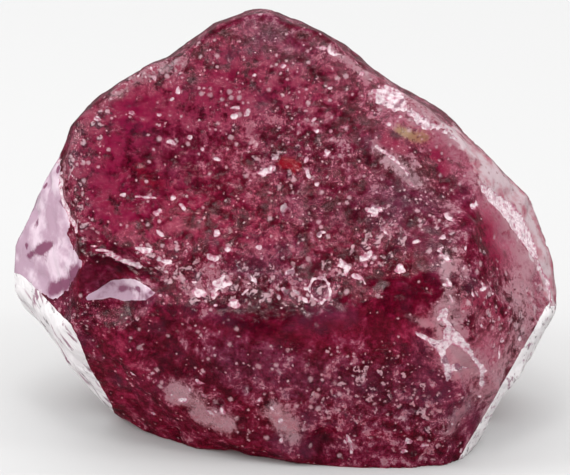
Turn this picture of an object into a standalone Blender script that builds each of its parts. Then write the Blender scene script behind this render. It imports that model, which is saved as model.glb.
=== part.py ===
"""Raw ruby crystal: one broken, water-worn piece of translucent corundum, resting on a flat parting face.

The stone is one solid. Its form is a field: negative inside, positive outside, in millimetres from a centre.
A leaning section gives the outline, planes give the broken faces, notches the ledges, and spheres the
shell-shaped fractures. The points of a fine ball are pushed outwards until they meet that surface, and worn
swells, chips, fibres, creases and pits are pressed into it. The mesh is then thinned, and the parting face
is cut flat.
Frame: +Z up, +X along the stone's length, origin under its middle on the face that it rests on.
"""

import math

import bmesh
import bpy
import numpy as np
from mathutils import Vector, noise

MM = 0.001

# The broadest section leans back by this angle, in degrees, about a centre this high. Lengths are in millimetres.
SECTION_LEAN = 18.0
CENTRE_HEIGHT = 6.95
HALF_DEPTH_FRONT = 8.2
HALF_DEPTH_BACK = 7.6
BULGE = 2.3
CORNER_ROUNDING = 7.0
CORNER_SAMPLES = 5

# Corners of that section, anticlockwise from the right, from the centre.
OUTLINE = (
    (9.22, 0.6), (8.42, 1.9), (6.9, 3.35), (5.75, 4.45), (4.15, 5.5), (2.5, 6.62), (1.5, 7.2), (0.5, 7.72),
    (-0.95, 8.4), (-2.35, 7.85), (-3.45, 7.15), (-4.3, 6.45), (-5.75, 5.85), (-7.05, 4.95), (-7.9, 3.8),
    (-8.6, 2.4), (-9.4, 0.6), (-10.03, -0.8), (-10.07, -2.0), (-9.45, -3.2), (-8.1, -4.7), (-6.8, -5.95),
    (-5.2, -8.6), (0.0, -10.6), (5.6, -9.9), (7.35, -7.1), (8.1, -5.6), (8.85, -4.85), (9.55, -4.15),
    (9.8, -3.4), (10.0, -2.4), (9.75, -1.0),
)

# Broken faces: bearing (0 is the front, 90 the right) and rise of the outward normal in degrees,
# distance from the centre and the rounding of the edges.
FACES = {
    "upper_front": (-3, 38, 4.6, 0.3),
    "lower_front": (0, -6, 6.5, 0.3),
    "left_front": (-17, -10, 6.7, 0.5),
    "left_heel": (-35, -30, 7.85, 0.3),
    "left_foot": (-24, -50, 8.4, 0.25),
    "left_toe": (-51, -50, 8.65, 0.25),
    "right_heel": (46, -12, 9.2, 0.3),
    "left_window": (-58, 10, 8.3, 0.15),
    "left_under": (-67, -31, 9.1, 0.2),
    "right_front": (60, 24, 7.85, 0.4),
    "right_under": (76, -27, 9.95, 0.2),
    "right_shoulder": (96, 55, 7.2, 0.5),
    "left_shoulder": (-122, 49, 8.35, 0.5),
    "crest": (172, 66, 8.7, 0.6),
    "back_upper": (176, 30, 6.6, 0.5),
    "back_left": (-134, 6, 7.6, 0.4),
    "back_right": (128, 10, 7.6, 0.5),
    "back_lower": (165, -20, 6.8, 0.4),
}

# Shell-shaped fractures: bearing and rise of the middle, its distance from the centre, the sphere's radius
# and the rounding of the rim.
SCOOPS = {
    "bowl": (-8, 34, 3.8, 24.0, 0.35),
    "shoulder_bite": (-115, 52, 8.05, 2.5, 0.4),
    "left_shelf": (-50, -4, 7.0, 1.5, 0.2),
    "red_shell": (50, 31, 6.45, 3.4, 0.25),
    "lower_dish": (-33, -19, 6.8, 2.4, 0.25),
    "back_shell": (155, 24, 5.3, 8.5, 0.25),
    "back_bite": (-150, 34, 6.3, 3.8, 0.3),
    "back_heel": (-165, -22, 6.0, 5.5, 0.25),
    "right_back_shell": (134, -2, 7.1, 6.0, 0.3),
}

# Ledges: the corner outside both of two planes is gone. Each plane is bearing, rise and distance.
LEDGES = {
    "back_ledge": ((-128, 2, 6.55), (-160, 62, 3.1)),
    "right_back_ledge": ((142, 10, 6.5), (70, -35, 1.2)),
    "crest_ledge": ((178, 34, 6.15), (96, 22, 2.6)),
}
LEDGE_ROUNDING = 0.25

# Creases run through points given as bearing and rise, with a half width and a depth. A rib has a negative depth.
CREASES = {
    "crack": (((-62, 8.5), (-56.5, 4.7), (-53.6, 3.2), (-49, 0.7), (-45, -1)), 0.22, 0.6),
    "under_rim": (((-34, -13), (-20, -16), (3, -17), (25, -11), (38, -3)), 0.85, 0.32),
    "fork_upper": (((45, -5), (46.3, -15), (58, -25.7)), 0.26, -0.24),
    "fork_lower": (((37.8, -13.7), (43.7, -19.6), (46.3, -25.2)), 0.24, -0.22),
    "shoulder_seam": (((62, 40), (66, 33), (74, 24)), 0.2, 0.2),
    "back_seam": (((-175, 48), (168, 26), (172, 2), (160, -18)), 0.16, 0.28),
    "right_seam": (((88, 22), (96, 4), (92, -14)), 0.18, 0.22),
}

# Holes and dimples of their own: bearing, rise, radius and depth.
DIMPLES = {
    "round_pit": (13.8, -45.5, 0.95, 0.75),
    "small_hole": (-24.4, -37.9, 0.3, 0.5),
    "rimmed_pit": (41.7, -41.4, 0.6, 0.4),
    "oval_chip": (12.1, -3.5, 0.5, 0.22),
    "spot": (0.5, 30, 0.34, 0.3),
}

# Worn relief all over: broad swells, and chips, which are shallow shells with ridges between them.
SWELL_SIZE = 3.4
SWELL_DEPTH = 0.2
CHIP_SIZE = 1.5
CHIP_DEPTH = 0.27
CHIP_LEVEL = 0.3
CHIP_SHARE_IN_BOWL = 0.3
BOWL_EDGE = 0.25

# Fibres run down one face, where the stone parted along its growth.
FIBRE_FACE = "left_under"
FIBRE_RUN = (0.557, -0.289, -0.778)
FIBRE_PITCH = 0.62
FIBRE_DEPTH = 0.12
FIBRE_WANDER = 0.35
FIBRE_EDGE = 0.3

# Pits scattered evenly over the stone, and more of them along the rim under the bowl (bearings and rises
# from, to). A try nearer to the centre than the farthest one is dropped more often, because its share of
# the surface is smaller.
PIT_SEED = 11
PIT_TRIES = 620
FARTHEST_PIT = 10.5
RIM_PITS = 70
RIM_BEARINGS = (-44, 34)
RIM_RISES = (-9, 6)
PIT_RADII = (0.2, 0.6)
PIT_DEPTH_SHARE = 0.34
BIAS_TO_SMALL = 2.0

# The ball: squares along a cube's edge, the farthest reach, and the number of halvings.
GRID = 84
FARTHEST = 16.0
HALVINGS = 22
TRIANGLES = 9000
CUTTER_SIZE = 0.06

RUBY_COLOUR = (0.21, 0.028, 0.05, 1.0)
RUBY_ROUGHNESS = 0.22
RUBY_IOR = 1.77
RUBY_TRANSMISSION = 0.6


def direction(bearing, rise):
    """The unit vector at this bearing from the front (-Y) towards the right (+X), and this rise, in degrees."""
    b, r = math.radians(bearing), math.radians(rise)
    return np.array((math.sin(b) * math.cos(r), -math.cos(b) * math.cos(r), math.sin(r)))


def smooth_max(a, b, rounding):
    """The larger of two fields, with the edge where they cross rounded over this width."""
    overlap = np.maximum(rounding - np.abs(a - b), 0.0) / rounding
    return np.maximum(a, b) + overlap * overlap * rounding / 4


def plane_field(points, bearing, rise, distance):
    """How far points are outside the plane with this outward normal and distance."""
    return points @ direction(bearing, rise) - distance


def scoop_field(points, bearing, rise, distance, radius):
    """How far points are inside a sphere that reaches in to this distance from the centre."""
    middle = direction(bearing, rise) * (distance + radius)
    return radius - np.linalg.norm(points - middle, axis=1)


def outline_reach(angle):
    """How far the outline is from the centre at these angles, in radians, its corners rounded."""
    corners = np.array(OUTLINE)
    corner_angle = np.arctan2(corners[:, 1], corners[:, 0])
    order = np.argsort(corner_angle)
    corner_angle, corner_reach = corner_angle[order], np.hypot(*corners[order].T)
    spread = np.radians(np.linspace(-CORNER_ROUNDING / 2, CORNER_ROUNDING / 2, CORNER_SAMPLES))
    turns = [np.interp(angle + turn, corner_angle, corner_reach, period=math.tau) for turn in spread]
    return np.mean(turns, axis=0)


def section_field(points):
    """The swollen body whose leaning section is the outline."""
    lean = math.radians(SECTION_LEAN)
    across = points[:, 0]
    along = points[:, 1] * math.sin(lean) + points[:, 2] * math.cos(lean)
    through = points[:, 1] * math.cos(lean) - points[:, 2] * math.sin(lean)
    half_depth = np.where(through < 0, HALF_DEPTH_FRONT, HALF_DEPTH_BACK)
    in_section = np.hypot(across, along) / outline_reach(np.arctan2(along, across))
    gauge = (in_section**BULGE + np.abs(through / half_depth) ** BULGE) ** (1 / BULGE)
    reach = np.linalg.norm(points, axis=1)
    return reach - reach / gauge


def stone_field(points):
    """The broken stone: the swollen body, cut by its faces and ledges and scooped by its fractures."""
    field = section_field(points)
    for bearing, rise, distance, rounding in FACES.values():
        field = smooth_max(field, plane_field(points, bearing, rise, distance), rounding)
    for wall, floor in LEDGES.values():
        corner = np.minimum(plane_field(points, *wall), plane_field(points, *floor))
        field = smooth_max(field, corner, LEDGE_ROUNDING)
    for bearing, rise, distance, radius, rounding in SCOOPS.values():
        field = smooth_max(field, scoop_field(points, bearing, rise, distance, radius), rounding)
    return field


def reach_of_surface(rays):
    """How far each ray from the centre runs before it leaves the stone, found by halving."""
    near, far = np.zeros(len(rays)), np.full(len(rays), FARTHEST)
    for _ in range(HALVINGS):
        middle = (near + far) / 2
        outside = stone_field(rays * middle[:, None]) > 0
        near, far = np.where(outside, near, middle), np.where(outside, middle, far)
    return (near + far) / 2


def surface_point(bearing, rise):
    """The point of the unworn surface at this bearing and rise."""
    ray = direction(bearing, rise)
    return ray * reach_of_surface(ray[None])[0]


def swell_depth(points):
    """Broad worn swells."""
    return np.array([noise.noise(Vector(point) / SWELL_SIZE) for point in points]) * SWELL_DEPTH


def chip_depth(points):
    """Shallow shells beside each other, with ridges that stand out between them. The bowl has weaker ones."""
    from_middle = np.array([noise.voronoi(Vector(point) / CHIP_SIZE)[0][0] for point in points])
    in_bowl = np.exp(-((scoop_field(points, *SCOOPS["bowl"][:-1]) / BOWL_EDGE) ** 2))
    share = 1 - (1 - CHIP_SHARE_IN_BOWL) * in_bowl
    return (CHIP_LEVEL - np.minimum(from_middle, 1.0) ** 2) * CHIP_DEPTH * share


def fibre_depth(points):
    """Wandering grooves that run down the fibrous face."""
    bearing, rise, distance, _ = FACES[FIBRE_FACE]
    on_face = np.exp(-((plane_field(points, bearing, rise, distance) / FIBRE_EDGE) ** 2))
    across = points @ np.cross(direction(bearing, rise), FIBRE_RUN)
    wander = np.array([noise.noise(Vector(point)) for point in points]) * FIBRE_WANDER
    wave = (1 + np.cos((across + wander) / FIBRE_PITCH * math.tau)) / 2
    return wave * FIBRE_DEPTH * on_face


def crease_depth(points, path, half_width, depth):
    """A groove, or a rib where the depth is negative, along a path on the surface."""
    corners = [surface_point(*corner) for corner in path]
    nearest = np.full(len(points), np.inf)
    for start, end in zip(corners, corners[1:]):
        run = end - start
        share = np.clip((points - start) @ run / (run @ run), 0, 1)
        nearest = np.minimum(nearest, np.linalg.norm(points - start - share[:, None] * run, axis=1))
    return depth * np.exp(-((nearest / half_width) ** 2))


def dimple_depth(points, middle, radius, depth):
    """A round dimple that fades out at its radius."""
    share = np.linalg.norm(points - middle, axis=1) / radius
    return depth * np.maximum(1 - share * share, 0) ** 2


def pit_places():
    """The middles and radii of the scattered pits, most of them small, from a fixed seed."""
    random = np.random.default_rng(PIT_SEED)
    tries = random.normal(size=(PIT_TRIES, 3))
    tries /= np.linalg.norm(tries, axis=1)[:, None]
    bearings = random.uniform(*RIM_BEARINGS, RIM_PITS)
    rises = random.uniform(*RIM_RISES, RIM_PITS)
    along_rim = [direction(bearing, rise) for bearing, rise in zip(bearings, rises)]
    reach = reach_of_surface(tries)
    even = reach**2 > random.random(PIT_TRIES) * FARTHEST_PIT**2
    rays = np.vstack((tries[even], along_rim))
    smallest, largest = PIT_RADII
    radii = smallest + (largest - smallest) * random.random(len(rays)) ** BIAS_TO_SMALL
    return rays * reach_of_surface(rays)[:, None], radii


def relief_depth(points):
    """How far the worn relief goes in at each point of the surface."""
    depth = swell_depth(points) + chip_depth(points) + fibre_depth(points)
    for path, half_width, crease in CREASES.values():
        depth += crease_depth(points, path, half_width, crease)
    for bearing, rise, radius, dimple in DIMPLES.values():
        depth += dimple_depth(points, surface_point(bearing, rise), radius, dimple)
    for middle, radius in zip(*pit_places()):
        depth += dimple_depth(points, middle, radius, radius * PIT_DEPTH_SHARE)
    return depth


def ball():
    """A fine ball of nearly even squares, as a bmesh."""
    bm = bmesh.new()
    bmesh.ops.create_cube(bm, size=2.0)
    bmesh.ops.subdivide_edges(bm, edges=bm.edges[:], cuts=GRID - 1, use_grid_fill=True)
    for vert in bm.verts:
        vert.co = Vector(math.tan(c * math.pi / 4) for c in vert.co).normalized()
    return bm


def stone_points(rays):
    """The worn surface along these rays, standing on the parting face, its box centred over the origin."""
    reach = reach_of_surface(rays)
    reach -= relief_depth(rays * reach[:, None])
    points = rays * reach[:, None] + (0, 0, CENTRE_HEIGHT)
    standing = points[points[:, 2] > 0]
    middle = (standing.min(axis=0) + standing.max(axis=0)) / 2
    return points - (middle[0], middle[1], 0)


def ruby():
    """Translucent dark red corundum."""
    material = bpy.data.materials.new("ruby")
    material.use_nodes = True
    surface = material.node_tree.nodes["Principled BSDF"].inputs
    surface["Base Color"].default_value = RUBY_COLOUR
    surface["Metallic"].default_value = 0.0
    surface["Roughness"].default_value = RUBY_ROUGHNESS
    surface["IOR"].default_value = RUBY_IOR
    surface["Transmission Weight"].default_value = RUBY_TRANSMISSION
    return material


def build_stone():
    """The whole stone, thinned but not yet cut flat."""
    bm = ball()
    rays = np.array([vert.co for vert in bm.verts])
    for vert, point in zip(bm.verts, stone_points(rays)):
        vert.co = Vector(point) * MM
    mesh = bpy.data.meshes.new("ruby_crystal")
    bm.to_mesh(mesh)
    bm.free()
    mesh.shade_smooth()
    mesh.materials.append(ruby())
    stone = bpy.data.objects.new("ruby_crystal", mesh)
    bpy.context.scene.collection.objects.link(stone)
    thin = stone.modifiers.new("thin", "DECIMATE")
    thin.ratio = TRIANGLES / (2 * len(mesh.polygons))
    return stone


def cut_parting_face(stone):
    """Cuts the stone off flat at the height of the parting face that it rests on."""
    bpy.ops.mesh.primitive_cube_add(size=CUTTER_SIZE, location=(0, 0, -CUTTER_SIZE / 2))
    cutter = bpy.context.object
    cutter.name = "parting_cutter"
    cutter.hide_render = True
    cutter.display_type = "WIRE"
    cut = stone.modifiers.new("parting_face", "BOOLEAN")
    cut.operation = "DIFFERENCE"
    cut.object = cutter


def main():
    """Clears the scene and models the stone."""
    for obj in list(bpy.data.objects):
        bpy.data.objects.remove(obj)
    cut_parting_face(build_stone())


main()
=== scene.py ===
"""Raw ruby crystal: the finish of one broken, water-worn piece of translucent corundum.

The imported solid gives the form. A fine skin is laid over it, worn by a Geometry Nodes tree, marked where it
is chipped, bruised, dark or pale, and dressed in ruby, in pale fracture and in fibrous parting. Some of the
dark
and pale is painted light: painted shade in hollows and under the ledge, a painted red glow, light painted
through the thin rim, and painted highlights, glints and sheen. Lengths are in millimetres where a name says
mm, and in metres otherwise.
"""

import logging
import math
from abc import ABC, abstractmethod
from collections.abc import Sequence
from dataclasses import dataclass, field
from enum import Enum
from functools import partial

import bmesh
import bpy
import numpy as np
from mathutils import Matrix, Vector, noise
from mathutils.bvhtree import BVHTree
from mathutils.kdtree import KDTree


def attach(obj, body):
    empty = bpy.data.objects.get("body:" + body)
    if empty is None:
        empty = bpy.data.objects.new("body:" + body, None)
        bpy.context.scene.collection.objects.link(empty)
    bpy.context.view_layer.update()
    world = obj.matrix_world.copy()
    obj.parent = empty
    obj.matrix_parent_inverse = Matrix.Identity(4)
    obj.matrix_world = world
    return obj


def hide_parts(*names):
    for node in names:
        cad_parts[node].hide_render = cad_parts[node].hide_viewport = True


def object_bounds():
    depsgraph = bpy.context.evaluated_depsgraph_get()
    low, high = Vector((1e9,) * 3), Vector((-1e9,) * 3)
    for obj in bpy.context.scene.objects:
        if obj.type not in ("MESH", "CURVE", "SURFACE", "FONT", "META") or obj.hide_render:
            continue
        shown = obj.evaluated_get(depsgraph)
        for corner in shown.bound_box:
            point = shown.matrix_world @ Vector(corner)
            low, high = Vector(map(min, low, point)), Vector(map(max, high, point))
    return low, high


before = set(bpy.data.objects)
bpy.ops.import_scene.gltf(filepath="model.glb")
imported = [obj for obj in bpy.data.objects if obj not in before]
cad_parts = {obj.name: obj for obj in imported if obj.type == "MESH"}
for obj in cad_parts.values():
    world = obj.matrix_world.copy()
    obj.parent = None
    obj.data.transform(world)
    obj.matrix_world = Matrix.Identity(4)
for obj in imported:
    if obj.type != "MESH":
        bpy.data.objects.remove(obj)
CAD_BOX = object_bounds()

LOG = logging.getLogger("ruby_crystal")
NODE = "ruby_crystal"
MM = 0.001
MM_PER_METRE = 1000.0
MIDDLE_MM = (0.0, -0.523, 6.95)
PIECE = "ruby_stone"
FREE = "free"
FLAKED = "flaked"
FINISH_INDEX = "finish_index"
HALVES = (0.5, 0.5, 0.5)

# How many squares the skin has along each edge of the cube that it is cast from.
SQUARES = 124

# Specks: which way the painted shade beside each bright spot lies, and the noise that makes them.
SHADE_SIDE = (0.14, 0.0, 0.2)
SPECK_DETAIL = 1.5
SPECK_ROUGHNESS = 0.5

# Cells and dots: the waves that bend them, and the even heart of a dot as a share of it.
FACET_WANDER = 0.8
DOT_WANDER_PER_MM = 9.0
DOT_WANDER_MM = 0.09
DOT_HEART = 0.25

# The smallest pit as a share of the pits' radius, and where flakes and marks begin and are full.
PIT_LEAST = 0.4
FLAKE_EDGE = (0.4, 0.8)
MARK_EDGE = (0.15, 0.9)

SHADER = "ShaderNodeTree"
FLOAT, VECTOR, GEOMETRY, MATERIAL = (
    f"NodeSocket{kind}" for kind in ("Float", "Vector", "Geometry", "Material")
)
PLACE = {"Vector": VECTOR}

Pair = tuple[float, float]
Triple = tuple[float, float, float]
Pixel = tuple[float, float]
Colour = tuple[float, float, float, float]
Bearing = tuple[float, float]
Socket = bpy.types.NodeSocket
Coat = tuple[Socket, Socket, Socket]


def direction(bearing: float, rise: float) -> np.ndarray:
    """Gives a unit vector.

    Args:
        bearing: Degrees from the front (-Y) towards the right (+X).
        rise: Degrees above the horizontal.

    Returns:
        The vector, of length one.
    """
    b, r = math.radians(bearing), math.radians(rise)
    return np.array((math.sin(b) * math.cos(r), -math.cos(b) * math.cos(r), math.sin(r)))


def smooth_step(value: np.ndarray, low: float, high: float) -> np.ndarray:
    """Rises smoothly from 0 at low to 1 at high."""
    share = np.clip((value - low) / (high - low), 0.0, 1.0)
    return share * share * (3.0 - 2.0 * share)


def add_object(name: str, data: bpy.types.ID) -> bpy.types.Object:
    """Adds an object to the scene.

    Args:
        name: The object's name.
        data: Its mesh, camera or light.

    Returns:
        The object.
    """
    added = bpy.data.objects.new(name, data)
    bpy.context.scene.collection.objects.link(added)
    return added


class Mark(Enum):
    """The places that the finishes read, each kept on the skin as an attribute that is 0 away from them."""

    CHIPPED = "chipped"
    BRUISED = "bruised"
    # Dark cracks and spots, and painted shade in pits, under the ledge and over the lower front face.
    DARK = "dark"
    # Painted glow: red light shining through the stone, painted into the colour.
    GLOWING = "painted_glow"
    # A milky veil, and painted highlights: the streaks, the rim glints and the forked highlight.
    VEILED = "veil_and_highlight"
    # Where the stone is thin; its paleness there is painted light shining through.
    THIN = "thin"
    DEEP = "deep"
    MAUVE = "mauve"
    # Painted iridescence: a yellow tint inside the upper right highlight streak.
    TINTED = "iridescent_tint"


class Finish(Enum):
    """The stone's finishes, each with the material slot that holds it."""

    RUBY = 0
    # A pale fracture face whose pale colour is painted sheen: a painted reflection on the left window and a
    # painted highlight on the shelf.
    WINDOW = 1
    # A streaked parting face whose white is partly painted reflection of the floor.
    FIBRE_SHEEN = 2
    # Pale chips, partly painted glints, and the painted highlights on the streaks, the right rim and the
    # fork.
    CHIP_AND_HIGHLIGHT = 3
    # The thin right rim, dressed pale as painted light shining through it.
    BACKLIT_RIM = 4


@dataclass(frozen=True)
class Stroke:
    """A mark along a path, or round one point, that the viewpoint sees.

    Attributes:
        path: Pixels that the mark follows.
        half_width_mm: How far from the path it fades out.
        strength: Its value on the path. A negative one takes away from other strokes.
    """

    path: tuple[Pixel | Bearing, ...]
    half_width_mm: float
    strength: float

    def corners(self, stone: "RubyCrystal") -> list[np.ndarray]:
        """The points of the stone that the path's pixels see."""
        return [corner for corner in map(stone.seen_point, self.path) if corner is not None]


@dataclass(frozen=True)
class HiddenStroke(Stroke):
    """A mark that the viewpoint doesn't see. Its path holds bearings and rises from the stone's centre."""

    def corners(self, stone: "RubyCrystal") -> list[np.ndarray]:
        """The points of the stone in the path's directions."""
        return [stone.cast(direction(*place)) for place in self.path]


@dataclass(frozen=True)
class Facet:
    """A flat broken face, or a patch of one, with a finish of its own.

    Attributes:
        finish: What it is dressed in.
        facing: Bearing and rise of its outward normal.
        distance_mm: How far its plane is from the stone's centre.
        slack_mm: How far from that plane its surface may be.
        ragged_mm: How far its edge wanders in and out.
        outline: Pixels round the part of it that has the finish, or nothing for the whole face.
    """

    finish: Finish
    facing: Bearing
    distance_mm: float
    slack_mm: float
    ragged_mm: float = 0.0
    outline: tuple[Pixel, ...] = ()


@dataclass(frozen=True)
class Flake:
    """A small pale chip that the viewpoint sees; its whiteness partly stands as a painted glint.

    Attributes:
        middle: The pixel at its middle.
        length_mm: Half its length.
        width_mm: Half its width.
        turn: Degrees from the camera's right, anticlockwise, that its length runs in.
    """

    middle: Pixel
    length_mm: float
    width_mm: float
    turn: float = 0.0


@dataclass(frozen=True)
class FlakeBand:
    """Small pale chips, partly painted glints, scattered along a path that the viewpoint sees.

    Attributes:
        path: Pixels that the band follows.
        spread_px: How far from the path the chips lie.
        count: How many there are.
    """

    path: tuple[Pixel, ...]
    spread_px: float
    count: int


def drawn(kind: type, *rows: tuple[object, ...]) -> tuple:
    """Makes strokes or bands of chips.

    Args:
        kind: Stroke, HiddenStroke or FlakeBand.
        rows: One for each of them: its half width and strength, or its spread and count, and then the
            corners of its path.

    Returns:
        The strokes or bands.
    """
    return tuple(kind(row[2:], *row[:2]) for row in rows)


MARKS: dict[Mark, tuple[Stroke, ...]] = {
    Mark.CHIPPED: drawn(
        Stroke,
        (0.9, 1.2, (165, 266), (200, 282), (260, 290), (320, 290), (370, 268), (392, 240)),
        (2.0, 0.25, (250, 350), (400, 400)), (0.45, 1.2, (445, 225), (447, 320)),
        (1.2, 0.55, (330, 405), (400, 385), (440, 440)), (0.4, 0.7, (75, 312), (140, 318)),
        (0.45, 1.2, (104, 120), (76, 160), (72, 200), (84, 230)),
        (0.35, 1.2, (120, 85), (150, 73), (180, 60)),
        (0.7, 0.75, (474, 292), (500, 318), (525, 335), (545, 290)), (0.9, 0.6, (285, 165)),
        (0.26, -1.6, (284, 162), (297, 166)), (0.45, 0.8, (380, 98), (430, 122)),
        (2.6, 0.22, (300, 150), (350, 190), (290, 230)), (1.6, 0.25, (225, 60), (330, 80)),
        (1.8, -0.2, (110, 140), (180, 200)), (1.0, -0.3, (515, 250), (480, 215)),
        (0.8, -1.0, (235, 318), (320, 328), (420, 312), (440, 290)), (1.1, -0.5, (490, 236)),
        (0.7, -1.1, (352, 292), (380, 282), (405, 266), (425, 248)), (0.6, 0.5, (495, 280), (530, 290)),
        (0.45, -0.8, (80, 276), (140, 276)), (0.8, -0.6, (470, 418)), (0.8, -0.4, (285, 45)),
    )
    + drawn(
        HiddenStroke,
        (2.2, 0.5, (150, 10), (200, -12)), (1.4, 0.5, (100, -20), (96, 20)),
    ),
    Mark.BRUISED: drawn(
        Stroke,
        (0.6, 0.55, (178, 394), (194, 402), (204, 418), (226, 426)), (0.5, 0.5, (272, 412), (292, 432)),
        (0.5, 0.6, (470, 398), (452, 428)),
    )
    + drawn(
        HiddenStroke,
        (1.3, 0.6, (160, -30), (190, -34)), (1.2, 0.6, (120, 30)), (1.0, 0.6, (-140, 20), (-150, -5)),
    ),
    # Dark cracks and spots, and painted shade: the broad strokes under the ledge and over the lower front
    # face, and the pits.
    Mark.DARK: drawn(
        Stroke,
        (3.2, 0.22, (150, 350), (280, 380), (400, 370)), (0.6, 0.8, (235, 314), (320, 322), (420, 300)),
        (0.7, 0.7, (158, 352), (195, 372)), (0.65, 0.9, (325, 446)), (0.3, 0.7, (416, 449)),
        (0.25, 0.8, (76, 307), (96, 313)), (0.14, 1.2, (221, 404)),
        (0.15, 2.8, (81, 246), (95, 256), (109, 262), (129, 268), (149, 273)),
        (0.16, 0.8, (414, 322), (432, 334), (441, 338)), (0.5, 0.3, (421, 345), (438, 360), (441, 380)),
        (0.9, 0.7, (345, 272), (375, 266), (425, 262)), (1.1, 0.3, (250, 218), (300, 208), (350, 205)),
        (0.6, 0.5, (375, 372)), (0.6, 0.6, (370, 392), (402, 372)), (0.6, 0.4, (178, 178), (215, 190)),
        (0.4, 0.35, (138, 168), (157, 185)), (0.12, 1.1, (552, 294)),
    )
    + drawn(
        HiddenStroke,
        (1.2, 0.7, (140, -5), (170, 2)), (0.9, 0.6, (-100, 40), (-125, 10)),
    ),
    # Painted glow: red light shining through the stone, painted into the colour.
    Mark.GLOWING: drawn(
        Stroke,
        (0.3, 0.8, (436, 155), (442, 168)), (0.28, 0.8, (386, 138), (402, 148)),
        (1.7, 0.55, (105, 130), (110, 215)), (1.3, 0.45, (150, 100), (215, 105)),
        (1.5, 0.4, (230, 60), (310, 90)), (1.4, 0.4, (180, 215), (260, 225)),
        (0.7, 0.75, (488, 232), (494, 250)), (0.5, 0.5, (470, 300), (500, 310)),
        (0.8, 0.4, (120, 340), (130, 400)), (0.9, 0.35, (380, 300), (410, 330)), (0.6, 0.5, (165, 315)),
    )
    + drawn(
        HiddenStroke,
        (1.4, 0.45, (200, 30), (215, 10)), (1.2, 0.4, (120, 0), (140, 30)),
    ),
    # Painted light shining through the thin rim and edges.
    Mark.THIN: drawn(
        Stroke,
        (1.1, 1.0, (400, 95), (440, 125), (480, 165), (520, 215), (545, 275), (548, 310)),
        (1.2, 0.7, (505, 235), (518, 270)), (0.9, 0.6, (488, 345), (508, 350)),
        (1.0, 0.45, (430, 325), (490, 385)), (0.9, 0.8, (455, 355)), (0.5, 0.6, (482, 205), (500, 232)),
        (1.2, 0.4, (180, 100), (225, 108)),
    )
    + drawn(
        HiddenStroke,
        (1.6, 0.7, (110, 45), (125, 10), (130, -20)), (1.4, 0.5, (-110, 40), (-130, 5)),
    ),
    # Milky veil and painted highlights along the streaks, the rims and the fork.
    Mark.VEILED: drawn(
        Stroke,
        (0.4, 0.85, (398, 92), (430, 112), (462, 140), (490, 172)),
        (0.36, 0.9, (482, 182), (500, 205), (518, 230), (530, 252)),
        (0.4, 0.7, (500, 172), (528, 212), (545, 255), (553, 300)),
        (0.3, 0.7, (548, 315), (520, 365), (480, 425)),
        (0.3, 0.45, (112, 95), (80, 132), (64, 165), (64, 200)),
        (0.3, 0.85, (118, 90), (134, 78), (152, 72), (180, 62)), (0.35, 0.4, (376, 150), (410, 180)),
        (0.4, 0.65, (440, 312), (446, 335), (460, 350), (478, 372)), (0.4, 0.5, (458, 358), (450, 372)),
        (0.2, 0.6, (408, 316), (424, 324)), (0.25, 0.5, (444, 250), (448, 300)),
        (0.2, 0.5, (322, 43), (345, 58), (370, 78)), (0.5, 0.36, (452, 262), (462, 280), (462, 300)),
        (0.6, 0.35, (405, 165), (440, 200)), (0.5, 0.4, (255, 283)),
        (0.5, 0.3, (432, 345), (462, 318), (492, 312)), (1.6, 0.12, (190, 360), (300, 400), (420, 410)),
        (0.5, 0.75, (178, 394), (194, 404), (204, 418), (226, 426)), (0.45, 0.75, (274, 412), (290, 432)),
        (0.9, 0.52, (525, 275), (520, 300), (520, 340), (490, 390)),
    )
    + drawn(
        HiddenStroke,
        (0.4, 0.6, (100, 40), (120, 10), (140, -20)), (0.4, 0.6, (-160, 45), (-140, 20)),
    ),
    Mark.MAUVE: drawn(
        Stroke,
        (0.9, 0.8, (395, 195), (430, 205)), (1.0, 0.6, (300, 210), (350, 215)),
        (0.7, 0.5, (110, 112), (130, 150)), (0.9, 0.7, (455, 400), (480, 420)),
        (0.35, 0.6, (100, 285), (150, 300)), (0.1, 1.2, (121, 289), (138, 289)), (0.35, 1.1, (319, 290)),
        (0.5, 0.6, (250, 265), (300, 275)), (1.3, 0.8, (230, 365), (420, 395)),
        (0.3, 0.9, (452, 355), (462, 362)), (0.5, 0.6, (425, 360), (432, 385)),
        (0.9, 0.5, (255, 30), (300, 60)), (0.45, 0.5, (384, 98), (402, 108)),
        (0.3, 0.4, (424, 122), (444, 134)), (0.35, 1.0, (42, 250)), (0.2, 0.9, (36, 222)),
        (0.3, 1.1, (52, 290), (66, 284), (76, 270)), (0.12, 1.1, (28, 256), (52, 244)),
    )
    + drawn(
        HiddenStroke,
        (1.2, 0.6, (170, 40), (190, 20)),
    ),
    # Painted iridescence inside the upper right highlight streak.
    Mark.TINTED: drawn(
        Stroke,
        (0.2, 0.9, (401, 131), (412, 136), (424, 138)),
    ),
    Mark.DEEP: drawn(
        Stroke,
        (0.2, 1.8, (284, 163), (290, 164), (296, 166)), (0.45, 0.5, (139, 170), (155, 184)),
    ),
}


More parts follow.
